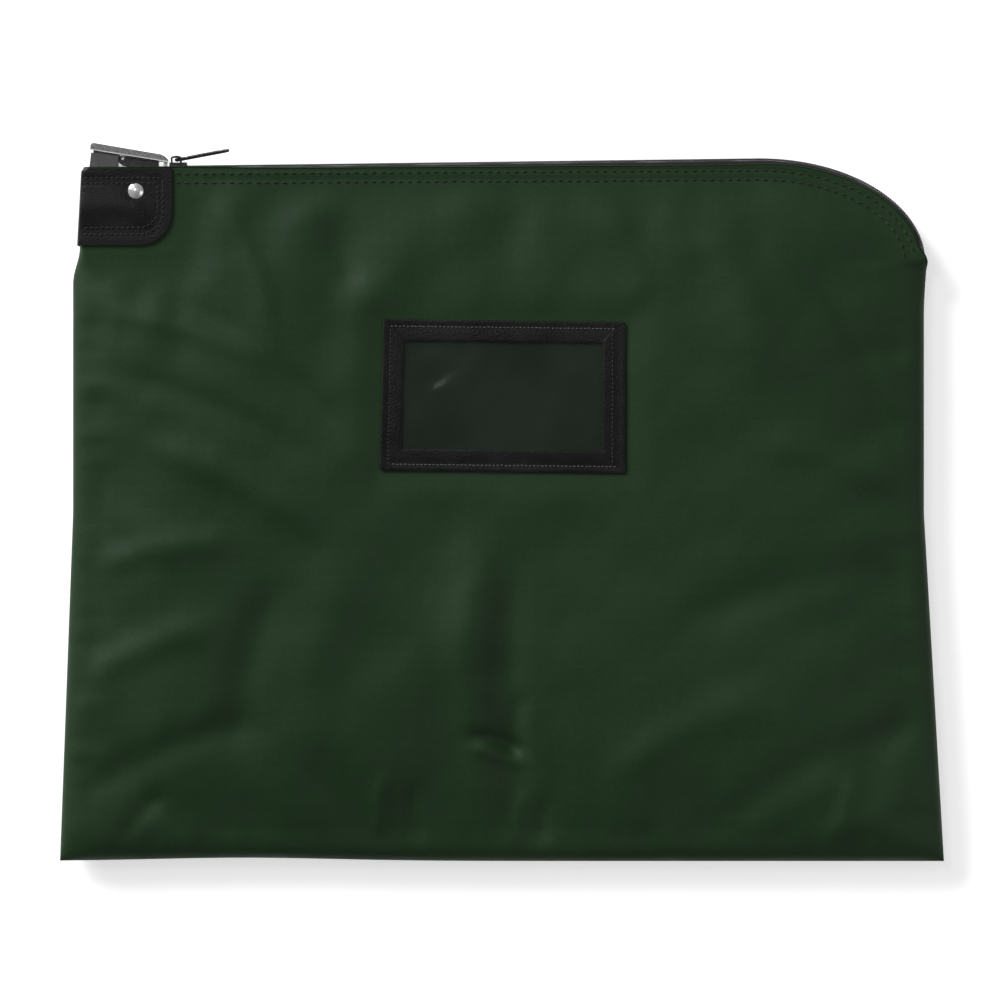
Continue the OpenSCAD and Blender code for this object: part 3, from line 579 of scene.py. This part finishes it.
def simulate(seed, keep_flat):
    """Height of the buckles that Blender's Cloth gives on a coarse copy of the panel."""
    rows = np.unique(np.append(np.arange(0, ROWS, SIM_STEP), ROWS - 1))
    cols = np.unique(np.append(np.arange(0, COLS, SIM_STEP), COLS - 1))
    x, y, h = (a[np.ix_(rows, cols)] for a in (GX, GY, GH))
    local = np.random.default_rng(seed)
    start = blur(local.normal(0, 1, x.shape), 2.2)
    start *= 0.9 * MM / start.std() * np.clip(EDGE[np.ix_(rows, cols)] / (30 * MM), 0, 1)
    n_r, n_c = x.shape
    points = np.stack([x, y, h + start], -1).reshape(-1, 3)
    obj = link_mesh("cloth_sim", points, grid_faces(n_r, n_c))
    pins = obj.vertex_groups.new(name="held")
    hold = (EDGE[np.ix_(rows, cols)] < 5 * MM) | (keep_flat[np.ix_(rows, cols)] > 0.9)
    pins.add([int(i) for i in np.nonzero(hold.reshape(-1))[0]], 1.0, "REPLACE")
    scene = bpy.context.scene
    gravity = scene.gravity.copy()
    scene.gravity = (-0.8, -1.6, 0.9)
    mod = obj.modifiers.new("cloth", "CLOTH")
    for key, value in SIM_CLOTH.items():
        setattr(mod.settings, key, value)
    mod.collision_settings.use_collision = False
    mod.point_cache.frame_start = 1
    mod.point_cache.frame_end = SIM_FRAMES
    for f in range(1, SIM_FRAMES + 1):
        scene.frame_set(f)
    depsgraph = bpy.context.evaluated_depsgraph_get()
    done = obj.evaluated_get(depsgraph).data
    co = np.zeros(len(done.vertices) * 3)
    done.vertices.foreach_get("co", co)
    rise = co.reshape(n_r, n_c, 3)[..., 2] - h
    scene.frame_set(1)
    scene.gravity = gravity
    mesh = obj.data
    bpy.data.objects.remove(obj)
    bpy.data.meshes.remove(mesh)
    wide = blur(rise, 9)
    rise = np.clip(wide, -SIM_CAP, SIM_CAP) * 0.25 + np.clip(rise - wide, -SIM_CAP, SIM_CAP)
    full = np.empty((ROWS, n_c))
    for j in range(n_c):
        full[:, j] = np.interp(np.arange(ROWS), rows, rise[:, j])
    out = np.empty((ROWS, COLS))
    for i in range(ROWS):
        out[i] = np.interp(np.arange(COLS), cols, full[i])
    return blur(out, 1.0)


def flat_zone(low, high, margin, fade):
    """1 over a rectangle and a margin round it, falling to 0 over fade."""
    dx = np.maximum(np.maximum(low.x - GX, GX - high.x), 0)
    dy = np.maximum(np.maximum(low.y - GY, GY - high.y), 0)
    return 1 - smooth((np.hypot(dx, dy) - margin) / fade)


def stitch_dips():
    """Grooves along the mouth, where its two rows of stitches pull the cloth down."""
    gap = mouth_gap(GX, GY)
    total = np.zeros_like(GX)
    for inset in ZIP_STITCH_INSETS:
        total -= 0.30 * MM * np.exp(-((gap - inset) / (1.5 * MM)) ** 2)
    return total


PATCH_FLAT = flat_zone(Vector((PATCH_X0 - 0.02, patch_lo.y, 0)), Vector((PATCH_X1, 1, 0)), 3 * MM, 26 * MM)
WINDOW_EASE = flat_zone(window_lo, window_hi, -8 * MM, 26 * MM)
MOUTH_EASE = smooth(mouth_gap(GX, GY) / (34 * MM))
ZIP_STITCH_INSETS = (3.4 * MM, 8.7 * MM)
STITCH_FILL = 0.62             # share of the pitch that the thread shows


def panel_relief(folds, seed, window):
    """Everything that lifts a panel off its plain shape, in metres."""
    relief = 1.5 * fold_field(folds) + 0.45 * MM * ripples(seed, 9, 38, 95)
    relief += 0.07 * MM * ripples(seed + 1, 12, 14, 30)
    relief += 0.8 * simulate(seed + 2, PATCH_FLAT)
    relief *= smooth(EDGE / (20 * MM)) * (1 - PATCH_FLAT)
    relief *= 0.25 + 0.75 * MOUTH_EASE
    if window:
        relief *= 1 - 0.72 * WINDOW_EASE
    relief += puckers(seed + 3) * (1 - PATCH_FLAT) * (1 - OPEN_ROW[:, None])
    relief += stitch_dips() * (1 - PATCH_FLAT)
    wave = np.sin(2 * np.pi * GX / (10.2 * MM)) + np.sin(2 * np.pi * GX / (17 * MM) + 1)
    relief += 0.09 * MM * wave * np.exp(-((mouth_gap(GX, GY) - 8 * MM) / (6 * MM)) ** 2) * (1 - PATCH_FLAT)
    return relief


def grid_normals(p):
    du = np.gradient(p, axis=1)
    dv = np.gradient(p, axis=0)
    n = np.cross(du, dv)
    return n / np.maximum(np.linalg.norm(n, axis=-1, keepdims=True), 1e-12)


def build_panel(name, relief, side):
    """A cloth panel, turned in at its seams and hemmed along the mouth. side is 1 front, -1 back."""
    p = np.stack([GX, GY, GH], -1)
    n = grid_normals(p)
    p = p + n * relief[..., None] * np.clip(ROLLS * 1.4, 0, 1)[..., None]
    p[..., 2] = np.maximum(p[..., 2], 0.15 * MM)
    points = list(p.reshape(-1, 3))
    faces = grid_faces(ROWS, COLS)
    left = [i * COLS for i in range(ROWS)]
    top = [(ROWS - 1) * COLS + j for j in range(COLS)]
    right = [i * COLS + COLS - 1 for i in range(ROWS)][::-1]
    bottom = list(range(COLS))[::-1]
    loop = left[:-1] + top[:-1] + right[:-1] + bottom[:-1]
    centre = np.array(points)[loop]
    tangent = np.roll(centre, -1, 0) - np.roll(centre, 1, 0)
    out = np.stack([-tangent[:, 1], tangent[:, 0], np.zeros(len(loop))], -1)
    out /= np.maximum(np.linalg.norm(out, axis=1, keepdims=True), 1e-9)
    mouth = np.array([1.0 if (k // COLS) >= ROWS - CORNER_STEPS - 1 and (k % COLS == COLS - 1)
                      or k // COLS == ROWS - 1 else 0.0 for k in loop])
    mouth = np.convolve(np.concatenate([mouth[-2:], mouth, mouth[:2]]), np.ones(5) / 5, "valid")[:, None]
    up = np.array([[0, 0, 1.0]])
    hem = [(0.35, -0.35), (0.45, -0.9), (0.2, -1.5), (-1.2, -1.75), (-9.0, -1.75)]
    seam = [(-0.15, -0.0), (-0.7, 0.02), (-1.6, 0.05), (-2.6, 0.05), (-3.5, 0.05)]
    thin = 1 - 0.55 * smooth((PATCH_X1 + 5 * MM - centre[:, :1]) / (6 * MM))
    previous = loop
    for (hx, hz), (sx, sz) in zip(hem, seam):
        ring = centre + MM * (out * mix(sx, hx, mouth) + up * mix(sz, hz * thin, mouth))
        first = len(points)
        points += list(ring)
        ids = list(range(first, first + len(loop)))
        m = len(loop)
        faces += [(previous[k], ids[k], ids[(k + 1) % m], previous[(k + 1) % m]) for k in range(m)]
        previous = ids
    points = np.array(points)
    points[:, 2] = MID + side * points[:, 2]
    if side < 0:
        faces = [f[::-1] for f in faces]
        points[:, 2] = np.maximum(points[:, 2], 0.05 * MM)
    obj = link_mesh(name, points, faces)
    modify(obj, "SUBSURF", levels=1, render_levels=1)
    modify(obj, "SOLIDIFY", thickness=CLOTH_T * 0.6, offset=-1.0)
    obj.data.materials.append(mat_cloth)
    return obj


front = build_panel("front_cloth", panel_relief(FRONT_FOLDS, 5, True), 1)
BACK_DRAW = 0.6 * MM           # the back's flat middle is drawn in a little
back_relief = panel_relief(BACK_FOLDS, 31, False) - BACK_DRAW * (ROLLS > 0.99) * (1 - PATCH_FLAT)
back = build_panel("back_cloth", np.minimum(back_relief, 0.0), -1)
for piece, node in ((front, "front_panel"), (back, "back_panel")):
    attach(piece, "bag")
    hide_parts(node)


def tree_of(obj):
    """A search tree over an object's mesh."""
    mesh = obj.data
    return BVHTree.FromPolygons([v.co for v in mesh.vertices], [p.vertices for p in mesh.polygons])


front_tree = tree_of(front)
back_tree = tree_of(back)


def surface(tree, x, y, side=1):
    """Height of a surface over (x, y), seen from the front (side 1) or the back (side -1)."""
    start = Vector((x, y, MID + side * 0.2))
    hit = tree.ray_cast(start, Vector((0, 0, -side)))
    return hit[0].z if hit[0] is not None else None


# ---- stitches ----
def stitch_mesh(name, stitches, radius, material):
    """Threads as short arched tubes: each stitch is (start, end, out direction)."""
    rings = [(0.0, -1.2, 0.75), (0.12, 0.15, 0.95), (0.35, 0.75, 1.0), (0.65, 0.75, 1.0),
             (0.88, 0.15, 0.95), (1.0, -1.2, 0.75)]
    sides = 7
    tube = tube_faces(len(rings), sides)
    points, faces = [], []
    for a, b, out in stitches:
        a, b, out = Vector(a), Vector(b), Vector(out).normalized()
        along = (b - a).normalized()
        across = along.cross(out).normalized()
        first = len(points)
        for t, lift, width in rings:
            centre = a.lerp(b, t) + out * radius * lift
            for k in range(sides):
                angle = 2 * math.pi * k / sides
                points.append(centre + radius * width * (across * math.cos(angle) + out * math.sin(angle)))
        faces += [[first + k for k in face] for face in tube]
    obj = link_mesh(name, points, faces)
    obj.data.materials.append(material)
    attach(obj, "bag")


def walk(line, pitch, fill=0.68, start=0.0):
    """Stitch spans (start, end) of even pitch along a polyline of 2-D points."""
    line = np.array(line)
    steps = np.linalg.norm(np.diff(line, axis=0), axis=1)
    far = np.concatenate([[0], np.cumsum(steps)])
    count = int((far[-1] - start) / pitch)
    spans = []
    for k in range(count):
        s = start + k * pitch
        spans.append([(np.interp(s + e, far, line[:, 0]), np.interp(s + e, far, line[:, 1]))
                      for e in (0, pitch * fill)])
    return spans


def on_surface(spans, tree, side=1, lift=0.05 * MM, jitter=0.12 * MM):
    """Lays stitch spans on a surface."""
    out = []
    for a, b in spans:
        a, b = ([p[0] + rng.normal(0, jitter), p[1] + rng.normal(0, jitter)] for p in (a, b))
        za, zb = surface(tree, *a, side), surface(tree, *b, side)
        if za is None or zb is None:
            continue
        out.append(((*a, za + side * lift), (*b, zb + side * lift), (0, 0, side)))
    return out


def mouth_line(inset, x_from):
    """A line inside the mouth's edge, from the patch round the curved corner to the zipper's end."""
    xs = np.linspace(x_from, CORNER_X, 60)
    line = [(x, Y_TOP - MOUTH_DROP * (CORNER_X - x) / MOUTH_LEN - inset) for x in xs]
    for t in np.linspace(0, np.pi / 2, 60)[1:]:
        normal = np.array([CORNER_H * math.sin(t), CORNER_W * math.cos(t)])
        normal /= np.linalg.norm(normal)
        line.append((CORNER_X + CORNER_W * math.sin(t) - inset * normal[0],
                     CORNER_Y + CORNER_H * math.cos(t) - inset * normal[1]))
    return line


def mouth_stitches(name, tree, side):
    spans = []
    for inset in ZIP_STITCH_INSETS:
        spans += walk(mouth_line(inset, PATCH_X1 + 1.5 * MM), 5.1 * MM, STITCH_FILL)
    stitch_mesh(name, on_surface(spans, tree, side), 0.40 * MM, mat_green_thread)


mouth_stitches("front_mouth_stitches", front_tree, 1)
mouth_stitches("back_mouth_stitches", back_tree, -1)


# ---- lock patch ----
PATCH_R = 19 * MM              # the patch's rounded corner
WRAP_R = 3.2 * MM              # the bend round the bag's edge


def patch_right(y):
    """The patch's right edge at a height, with its rounded lower corner."""
    d = np.clip((patch_lo.y + PATCH_R - y) / PATCH_R, 0, 1)
    return PATCH_X1 - PATCH_R + PATCH_R * np.sqrt(np.maximum(0, 1 - d ** 2))


def build_patch():
    """One piece of vinyl, folded round the bag's left edge, stitched and drawn in by its rivet."""
    low, high = patch_lo.y, patch_hi.y
    curve = low + PATCH_R * (1 - np.cos(np.linspace(0, np.pi / 2, 16)))
    ys = np.concatenate([curve, np.linspace(curve[-1], high, 24)[1:]])
    z1, z0 = patch_hi.z, patch_lo.z
    points = []
    across = 44
    bends = np.linspace(0, np.pi / 2, 6)
    for y in ys:
        right = patch_right(y)
        frontal = [(x, z1) for x in np.linspace(right, PATCH_X0 + WRAP_R, across)]
        turn = [(PATCH_X0 + WRAP_R - WRAP_R * math.sin(b), z1 - WRAP_R + WRAP_R * math.cos(b))
                for b in bends[1:]]
        half = frontal + turn + [(PATCH_X0, mix(z1 - WRAP_R, MID, 0.5)), (PATCH_X0, MID)]
        mirror = [(x, z0 + z1 - z) for x, z in half[:-1]][::-1]
        points += [(x, y, z) for x, z in half + mirror]
    cols = len(points) // len(ys)
    p = np.array(points).reshape(len(ys), cols, 3)
    rise = (p[..., 1] - low) / (high - low)
    nearness = smooth((PATCH_X1 - 18 * MM - p[..., 0]) / (PATCH_X1 - 18 * MM - PATCH_X0))
    round_top = np.clip((p[..., 1] - high + 3.4 * MM) / (3.4 * MM), 0, 1)
    p[..., 0] += nearness * (PATCH_LEAN * rise + 1.9 * MM * round_top ** 3)
    side = np.sign(p[..., 2] - MID)
    flat = np.clip((np.abs(p[..., 2] - MID) - (MOUTH_HALF - 1 * MM)) / (1 * MM), 0, 1)
    edge = np.minimum(np.minimum(p[..., 1] - low, high - p[..., 1]), patch_right(p[..., 1]) - p[..., 0])
    to_rivet = np.hypot(p[..., 0] - RIVET.x, p[..., 1] - RIVET.y)
    puff = 0.9 * MM * smooth((edge - 9 * MM) / (14 * MM)) - 0.8 * MM * np.exp(-(to_rivet / (8 * MM)) ** 2)
    for inset in (6.3 * MM, 9.2 * MM):
        puff -= 0.34 * MM * np.exp(-((edge - inset) / (1.1 * MM)) ** 2)
    waves = np.sin(p[..., 0] / (5 * MM) + p[..., 1] / (9 * MM))
    puff += 0.16 * MM * waves * smooth((edge - 9 * MM) / (8 * MM))
    p[..., 2] += side * flat * np.maximum(puff, -0.15 * MM)
    obj = link_mesh("vinyl_patch", p.reshape(-1, 3), grid_faces(len(ys), cols))
    modify(obj, "SUBSURF", levels=1, render_levels=1)
    obj.data.materials.append(mat_vinyl)
    obj.data.materials.append(mat_rim_highlight)
    inwards = 1.0 if normals_inward(obj) else -1.0
    # the rims take the lighter grey, a painted highlight along the patch's cut edge
    modify(obj, "SOLIDIFY", thickness=VINYL_T, offset=inwards, material_offset_rim=1)
    modify(obj, "BEVEL", width=0.2 * MM, segments=2, limit_method="ANGLE")
    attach(obj, "bag")
    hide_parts("lock_patch")
    return obj


def normals_inward(obj):
    """True if the patch's front faces look down into the bag."""
    top = [p for p in obj.data.polygons if p.center.z > MID + 6 * MM]
    return sum(p.normal.z for p in top) < 0


patch = build_patch()
patch_tree = tree_of(patch)


def patch_stitches(name, side):
    """Two rows, down the right edge and along the bottom, and two along the top."""
    spans = []
    for right_in, top_in, bottom_in in ((5.4, 5.9, 6.3), (8.2, 8.9, 10.0)):
        x1, y1, y0 = PATCH_X1 - right_in * MM, patch_hi.y - top_in * MM, patch_lo.y + bottom_in * MM
        x0 = PATCH_X0 + 1.6 * MM
        r = PATCH_R - right_in * MM
        arc = [(x1 - r + r * math.cos(a), y0 + r - r * math.sin(a)) for a in np.linspace(0, np.pi / 2, 20)]
        spans += walk([(x1, y1 - 1 * MM)] + arc + [(x0, y0)], 3.0 * MM, STITCH_FILL)
        spans += walk([(x0, y1), (x1 + 0.5 * MM, y1)], 3.0 * MM, STITCH_FILL)
    stitch_mesh(name, on_surface(spans, patch_tree, side), 0.42 * MM, mat_black_thread)


patch_stitches("patch_stitches", 1)
patch_stitches("back_patch_stitches", -1)


# ---- card window ----
OPENING_W, OPENING_H = 114.4 * MM, 61.7 * MM
FRAME_LEAN = 0.7 * MM


def build_window():
    """The vinyl frame and its clear pane, both following the cloth under them."""
    cx, cy = (window_lo.x + window_hi.x) / 2, (window_lo.y + window_hi.y) / 2
    w, h = window_hi.x - window_lo.x, window_hi.y - window_lo.y

    def skewed(x, y):
        """The frame is sewn on a little crooked and narrower at its top."""
        x *= 1 - 0.007 * y / (h / 2)
        return cx + x + 0.012 * y, cy + y - 0.012 * x

    def outline(width, height, radius, lean, count=60):
        """Points round a rounded rectangle, the same number on each side whatever its size."""
        out = []
        corners = [(1, 1, 0), (-1, 1, 90), (-1, -1, 180), (1, -1, 270)]
        for i, (sx, sy, a0) in enumerate(corners):
            ox, oy = sx * (width / 2 - radius), sy * (height / 2 - radius)
            turns = [math.radians(a0 + a) for a in np.linspace(0, 90, 9)]
            arc = [(ox + radius * math.cos(a), oy + radius * math.sin(a)) for a in turns]
            out += arc
            nx, ny, na = corners[(i + 1) % 4]
            bx, by = nx * (width / 2 - radius), ny * (height / 2 - radius)
            bx += radius * math.cos(math.radians(na))
            by += radius * math.sin(math.radians(na))
            for t in np.linspace(0, 1, count + 2)[1:-1]:
                out.append((mix(arc[-1][0], bx, t), mix(arc[-1][1], by, t)))
        return [skewed(lean + x, y) for x, y in out]

    rings = []
    for t in np.linspace(0, 1, 8):
        size = mix(w, OPENING_W, t), mix(h, OPENING_H, t), mix(1.2 * MM, 0.5 * MM, t)
        rings.append(outline(*size, -FRAME_LEAN * t))
    points = []
    for k, ring in enumerate(rings):
        sag = -0.25 * MM * math.exp(-((k - 2.4) / 0.8) ** 2)
        for x, y in ring:
            points.append((x, y, surface(front_tree, x, y) + 0.25 * MM + sag))
    n = len(rings[0])
    z = np.array([p[2] for p in points]).reshape(len(rings), n)
    z = np.apply_along_axis(lambda line: np.convolve(np.concatenate([line[-4:], line, line[:4]]),
                                                     np.ones(9) / 9, "valid"), 1, z)
    points = [(p[0], p[1], float(zz)) for p, zz in zip(points, z.reshape(-1))]
    obj = link_mesh("card_frame", points, grid_faces(len(rings), n, wrap=True))
    if obj.data.polygons[0].normal.z < 0:
        obj.data.flip_normals()
    obj.data.materials.append(mat_frame)
    obj.data.materials.append(mat_rim_highlight)
    # the rims take the lighter grey, a painted highlight along the frame's cut edges
    modify(obj, "SOLIDIFY", thickness=1.0 * MM, offset=1.0, material_offset_rim=1)
    modify(obj, "BEVEL", width=0.2 * MM, segments=2, limit_method="ANGLE")
    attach(obj, "bag")
    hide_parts("window_frame")
    frame_tree = tree_of(obj)

    rows, cols = 34, 60
    grid = []
    for j in np.linspace(-1, 1, rows):
        for i in np.linspace(-1, 1, cols):
            x, y = skewed(-FRAME_LEAN + i * (OPENING_W / 2 + 1.6 * MM), j * (OPENING_H / 2 + 1.6 * MM))
            bow = 0.6 * MM * (1 - i * i) * (1 - j * j)
            ends = 0.42 * MM * math.sin(9 * j + 5 * i * i) * math.sin(7.5 * i + 1.5 * j)
            ends = ends * (1 - i ** 6) * (1 - j ** 6)
            grid.append((x, y, surface(front_tree, x, y) + 0.62 * MM + bow + ends * abs(i)))
    pane = link_mesh("card_pane", grid, grid_faces(rows, cols))
    modify(pane, "SOLIDIFY", thickness=0.25 * MM, offset=1.0)
    pane.data.materials.append(mat_pane)
    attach(pane, "bag")
    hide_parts("window_pane")

    left, right = -w / 2 + 4.3 * MM, w / 2 - 7.4 * MM
    top, bottom = h / 2 - 4.0 * MM, -h / 2 + 3.5 * MM
    across = walk([skewed(left, top), skewed(right + 4 * MM, top)], 2.3 * MM, STITCH_FILL)
    across += walk([skewed(right + 2 * MM, bottom), skewed(left, bottom)], 2.3 * MM, STITCH_FILL)
    down = walk([skewed(left, bottom), skewed(left, top)], 2.3 * MM, 0.5)
    down += walk([skewed(right, top + 2 * MM), skewed(right, bottom - 1 * MM)], 2.5 * MM, 0.5)
    stitch_mesh("frame_stitches", on_surface(across, frame_tree), 0.22 * MM, mat_gray_thread)
    stitch_mesh("frame_side_stitches", on_surface(down, frame_tree), 0.24 * MM, mat_side_thread)
    return obj, pane


card_frame, card_pane = build_window()


# ---- zipper ----
TAPE_X0 = coil_lo.x
CHAIN_TOP = CORNER_Y + CHAIN_H
TAPE_T = 0.6 * MM


def chain_path(step):
    """Points and outward normals along the tape's outer face, step metres apart, to the zipper's end."""
    xs = np.linspace(TAPE_X0, CORNER_X, 200)
    slope = np.array([-math.sin(CHAIN_SLOPE), math.cos(CHAIN_SLOPE)])
    line = [(x, CHAIN_TOP - math.tan(CHAIN_SLOPE) * (CORNER_X - x)) for x in xs]
    normals = [slope] * len(xs)
    for t in np.linspace(0, np.pi / 2, 160)[1:]:
        n = np.array([CHAIN_H * math.sin(t), CHAIN_W * math.cos(t)])
        line.append((CORNER_X + CHAIN_W * math.sin(t), CORNER_Y + CHAIN_H * math.cos(t)))
        normals.append(n / np.linalg.norm(n))
    line, normals = np.array(line), np.array(normals)
    far = np.concatenate([[0], np.cumsum(np.linalg.norm(np.diff(line, axis=0), axis=1))])
    s = np.arange(0, far[-1], step)
    p = np.stack([np.interp(s, far, line[:, k]) for k in (0, 1)], -1)
    n = np.stack([np.interp(s, far, normals[:, k]) for k in (0, 1)], -1)
    return p, n / np.linalg.norm(n, axis=1, keepdims=True), s


def build_tape(name, side, node, hem):
    """Half of the zipper's tape: a sewn edge under the panel, a bend, and a roof across to the coil."""
    p, n, s = chain_path(2.0 * MM)
    flange = MOUTH_HALF - 2.6 * MM
    profile = [(-9.0, flange), (-5.0, flange), (-1.2, flange - 0.2 * MM), (-0.35, flange - 0.6 * MM),
               (-0.1, flange - 1.6 * MM), (0.0, flange - 3.0 * MM), (0.0, 2.6 * MM), (0.0, 1.0 * MM)]
    points = []
    for k in range(len(s)):
        ripple = 0.10 * MM * math.sin(s[k] / (4.1 * MM)) + 0.12 * MM * math.sin(s[k] / (9.7 * MM) + side)
        for i, (out, z) in enumerate(profile):
            d = out * MM + (ripple if i in (3, 4, 5) else 0)
            points.append((p[k][0] + n[k][0] * d, p[k][1] + n[k][1] * d, MID + side * z))
    obj = link_mesh(name, points, grid_faces(len(s), len(profile), flip=side > 0))
    modify(obj, "SUBSURF", levels=1, render_levels=1)
    modify(obj, "SOLIDIFY", thickness=TAPE_T, offset=-1.0)
    obj.data.materials.append(mat_tape)
    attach(obj, "bag")
    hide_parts(node, hem)
    return obj


def build_coil(name, side, node):
    """One row of nylon coil turns, flattened and half a turn out of step with the other row."""
    pitch, per_turn, sides = 1.27 * MM, 12, 5
    p, n, s = chain_path(pitch / per_turn)
    wire, half_n, half_z = 0.27 * MM, 0.42 * MM, 1.35 * MM
    centre_n, centre_z = 0.72 * MM, side * (half_z - 0.25 * MM)
    tangent = np.gradient(p, axis=0)
    tangent /= np.linalg.norm(tangent, axis=1, keepdims=True)
    phase = 2 * np.pi * np.arange(len(s)) / per_turn + (np.pi if side < 0 else 0)
    a, b = np.cos(phase), np.sin(phase)
    out = centre_n + half_n * b
    centre = np.stack([p[:, 0] + n[:, 0] * out, p[:, 1] + n[:, 1] * out, MID + centre_z + half_z * a], -1)
    along = np.stack([tangent[:, 0], tangent[:, 1], np.zeros(len(s))], -1)
    radial = np.stack([n[:, 0] * b, n[:, 1] * b, a], -1)
    radial /= np.linalg.norm(radial, axis=1, keepdims=True)
    turns = [2 * math.pi * k / sides for k in range(sides)]
    rings = [centre + wire * (radial * math.cos(turn) + along * math.sin(turn)) for turn in turns]
    points = np.stack(rings, 1).reshape(-1, 3)
    obj = link_mesh(name, points, tube_faces(len(s), sides))
    obj.data.materials.append(mat_coil)
    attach(obj, "bag")
    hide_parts(node)
    return obj


front_tape = build_tape("front_tape", 1, "front_zipper_tape", "front_tape_hem")
back_tape = build_tape("back_tape", -1, "back_zipper_tape", "back_tape_hem")
build_coil("front_coil_turns", 1, "front_zipper_coil")
build_coil("back_coil_turns", -1, "back_zipper_coil")

# ---- carried-over CAD nodes ----
FINISHES = (
    (mat_binding, "left_seam_binding", "right_seam_binding", "bottom_seam_binding"),
    (mat_enamel, "zipper_end_stop", "slider_body", "slider_pull_tab", "latch_plate"),
    (mat_nickel, "rivet_cap", "rivet_post"),
    (mat_zinc, "lock_housing", "lock_cover_plate", "lock_plunger"),
    (mat_brass, "key_plug", "key_pins", "driver_pins"),
    (mat_steel, "hood_pin", "tumbler_springs", "tumbler_cover_strip", "lock_bolt", "popup_spring"),
)
for finish, *names in FINISHES:
    for name in names:
        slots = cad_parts[name].data.materials
        slots.clear()
        slots.append(finish)
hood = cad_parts["lock_hood"]
hood.data.materials.clear()
HOOD_HIGHLIGHT_STRIP = 0.7 * MM          # the strip along the hood's lower edge that is painted near-white as a highlight
hood_turned = [v.co.y * math.cos(HOOD_EDGE_TILT) + v.co.x * math.sin(HOOD_EDGE_TILT)
               for v in hood.data.vertices if abs(v.co.z - MID) > 5.5 * MM]
hood.data.materials.append(hood_material(min(hood_turned) + HOOD_HIGHLIGHT_STRIP))


def build_popup_spring():
    """The spring under the hood's plunger, built as one fixed coil; the real spring shortens as the hood is
    pressed.
    """
    cos, sin = math.cos(LOCK_TILT), math.sin(LOCK_TILT)
    turned = np.array([(v.co.x * cos - v.co.y * sin, v.co.x * sin + v.co.y * cos, v.co.z)
                       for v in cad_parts["popup_spring"].data.vertices])
    low, high = turned.min(axis=0), turned.max(axis=0)
    wire = 0.35 * MM
    radius = (high[0] - low[0]) / 2 - wire
    x0, z0 = (low[0] + high[0]) / 2, (low[2] + high[2]) / 2
    turns, per_turn, sides = 9, 28, 8
    t = np.linspace(0, 1, turns * per_turn + 1)
    ends = np.clip(np.interp(t * turns, [0, 1, turns - 1, turns], [0, 0.03, 0.97, 1]), 0, 1)
    y = mix(low[1] + wire, high[1] - wire, ends)
    angle = 2 * np.pi * turns * t
    points = []
    for k in range(len(t)):
        out = np.array([math.cos(angle[k]), 0, math.sin(angle[k])])
        for i in range(sides):
            around = 2 * math.pi * i / sides
            px, py, pz = (np.array([x0, y[k], z0]) + out * (radius + wire * math.cos(around))
                          + np.array([0, wire * math.sin(around), 0]))
            points.append((px * cos + py * sin, py * cos - px * sin, pz))
    obj = link_mesh("popup_spring_coil", points, tube_faces(len(t), sides))
    obj.data.materials.append(mat_steel)
    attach(obj, "bag")
    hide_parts("popup_spring")
    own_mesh(obj)


build_popup_spring()

# ---- stage, light and camera ----
VIEW_X, VIEW_Y = -1.15 * MM, 4.5 * MM
VIEW_W = 574.7 * MM
LENS, SENSOR = 200.0, 36.0


def area_light(name, place, size, energy, aim=(0, 0, 0)):
    data = bpy.data.lights.new(name, "AREA")
    data.shape = "RECTANGLE"
    data.size, data.size_y = size
    data.energy = energy
    obj = bpy.data.objects.new(name, data)
    obj.location = place
    obj.rotation_euler = (Vector(place) - Vector(aim)).to_track_quat("Z", "Y").to_euler()
    bpy.context.scene.collection.objects.link(obj)


def floor_material():
    m, tree, shader, coords = new_material("studio_floor", (0.93, 0.93, 0.93), Roughness=0.75,
                                           Emission_Color=(1, 1, 1, 1), Emission_Strength=0.5)
    shade = ramp(tree, noise(tree, coords, 3.0), [(0.3, (0.92, 0.92, 0.92)), (0.7, (0.94, 0.94, 0.94))])
    tree.links.new(shade, shader.inputs["Base Color"])
    return m


def build_stage():
    size = 4.0
    floor = link_mesh("floor", [(-size, -size, 0), (size, -size, 0), (size, size, 0), (-size, size, 0)],
                      [(0, 1, 2, 3)])
    floor.data.materials.append(floor_material())
    world = bpy.data.worlds.new("studio")
    bpy.context.scene.world = world
    world.use_nodes = True
    background = world.node_tree.nodes["Background"]
    background.inputs["Color"].default_value = (1, 1, 1, 1)
    background.inputs["Strength"].default_value = 0.13
    area_light("key", (-4.0, 4.0, 2.5), (2.6, 2.6), 488)
    area_light("fill", (2.1, -0.6, 1.9), (1.6, 1.6), 18)
    area_light("overhead", (-0.55, 0.75, 1.9), (0.5, 0.7), 4.5)
    data = bpy.data.cameras.new("camera")
    data.lens, data.sensor_width = LENS, SENSOR
    camera = bpy.data.objects.new("camera", data)
    camera.location = (VIEW_X, VIEW_Y, MID + VIEW_W * LENS / SENSOR)
    bpy.context.scene.collection.objects.link(camera)
    bpy.context.scene.camera = camera
    bpy.context.scene.view_settings.view_transform = "Standard"


build_stage()
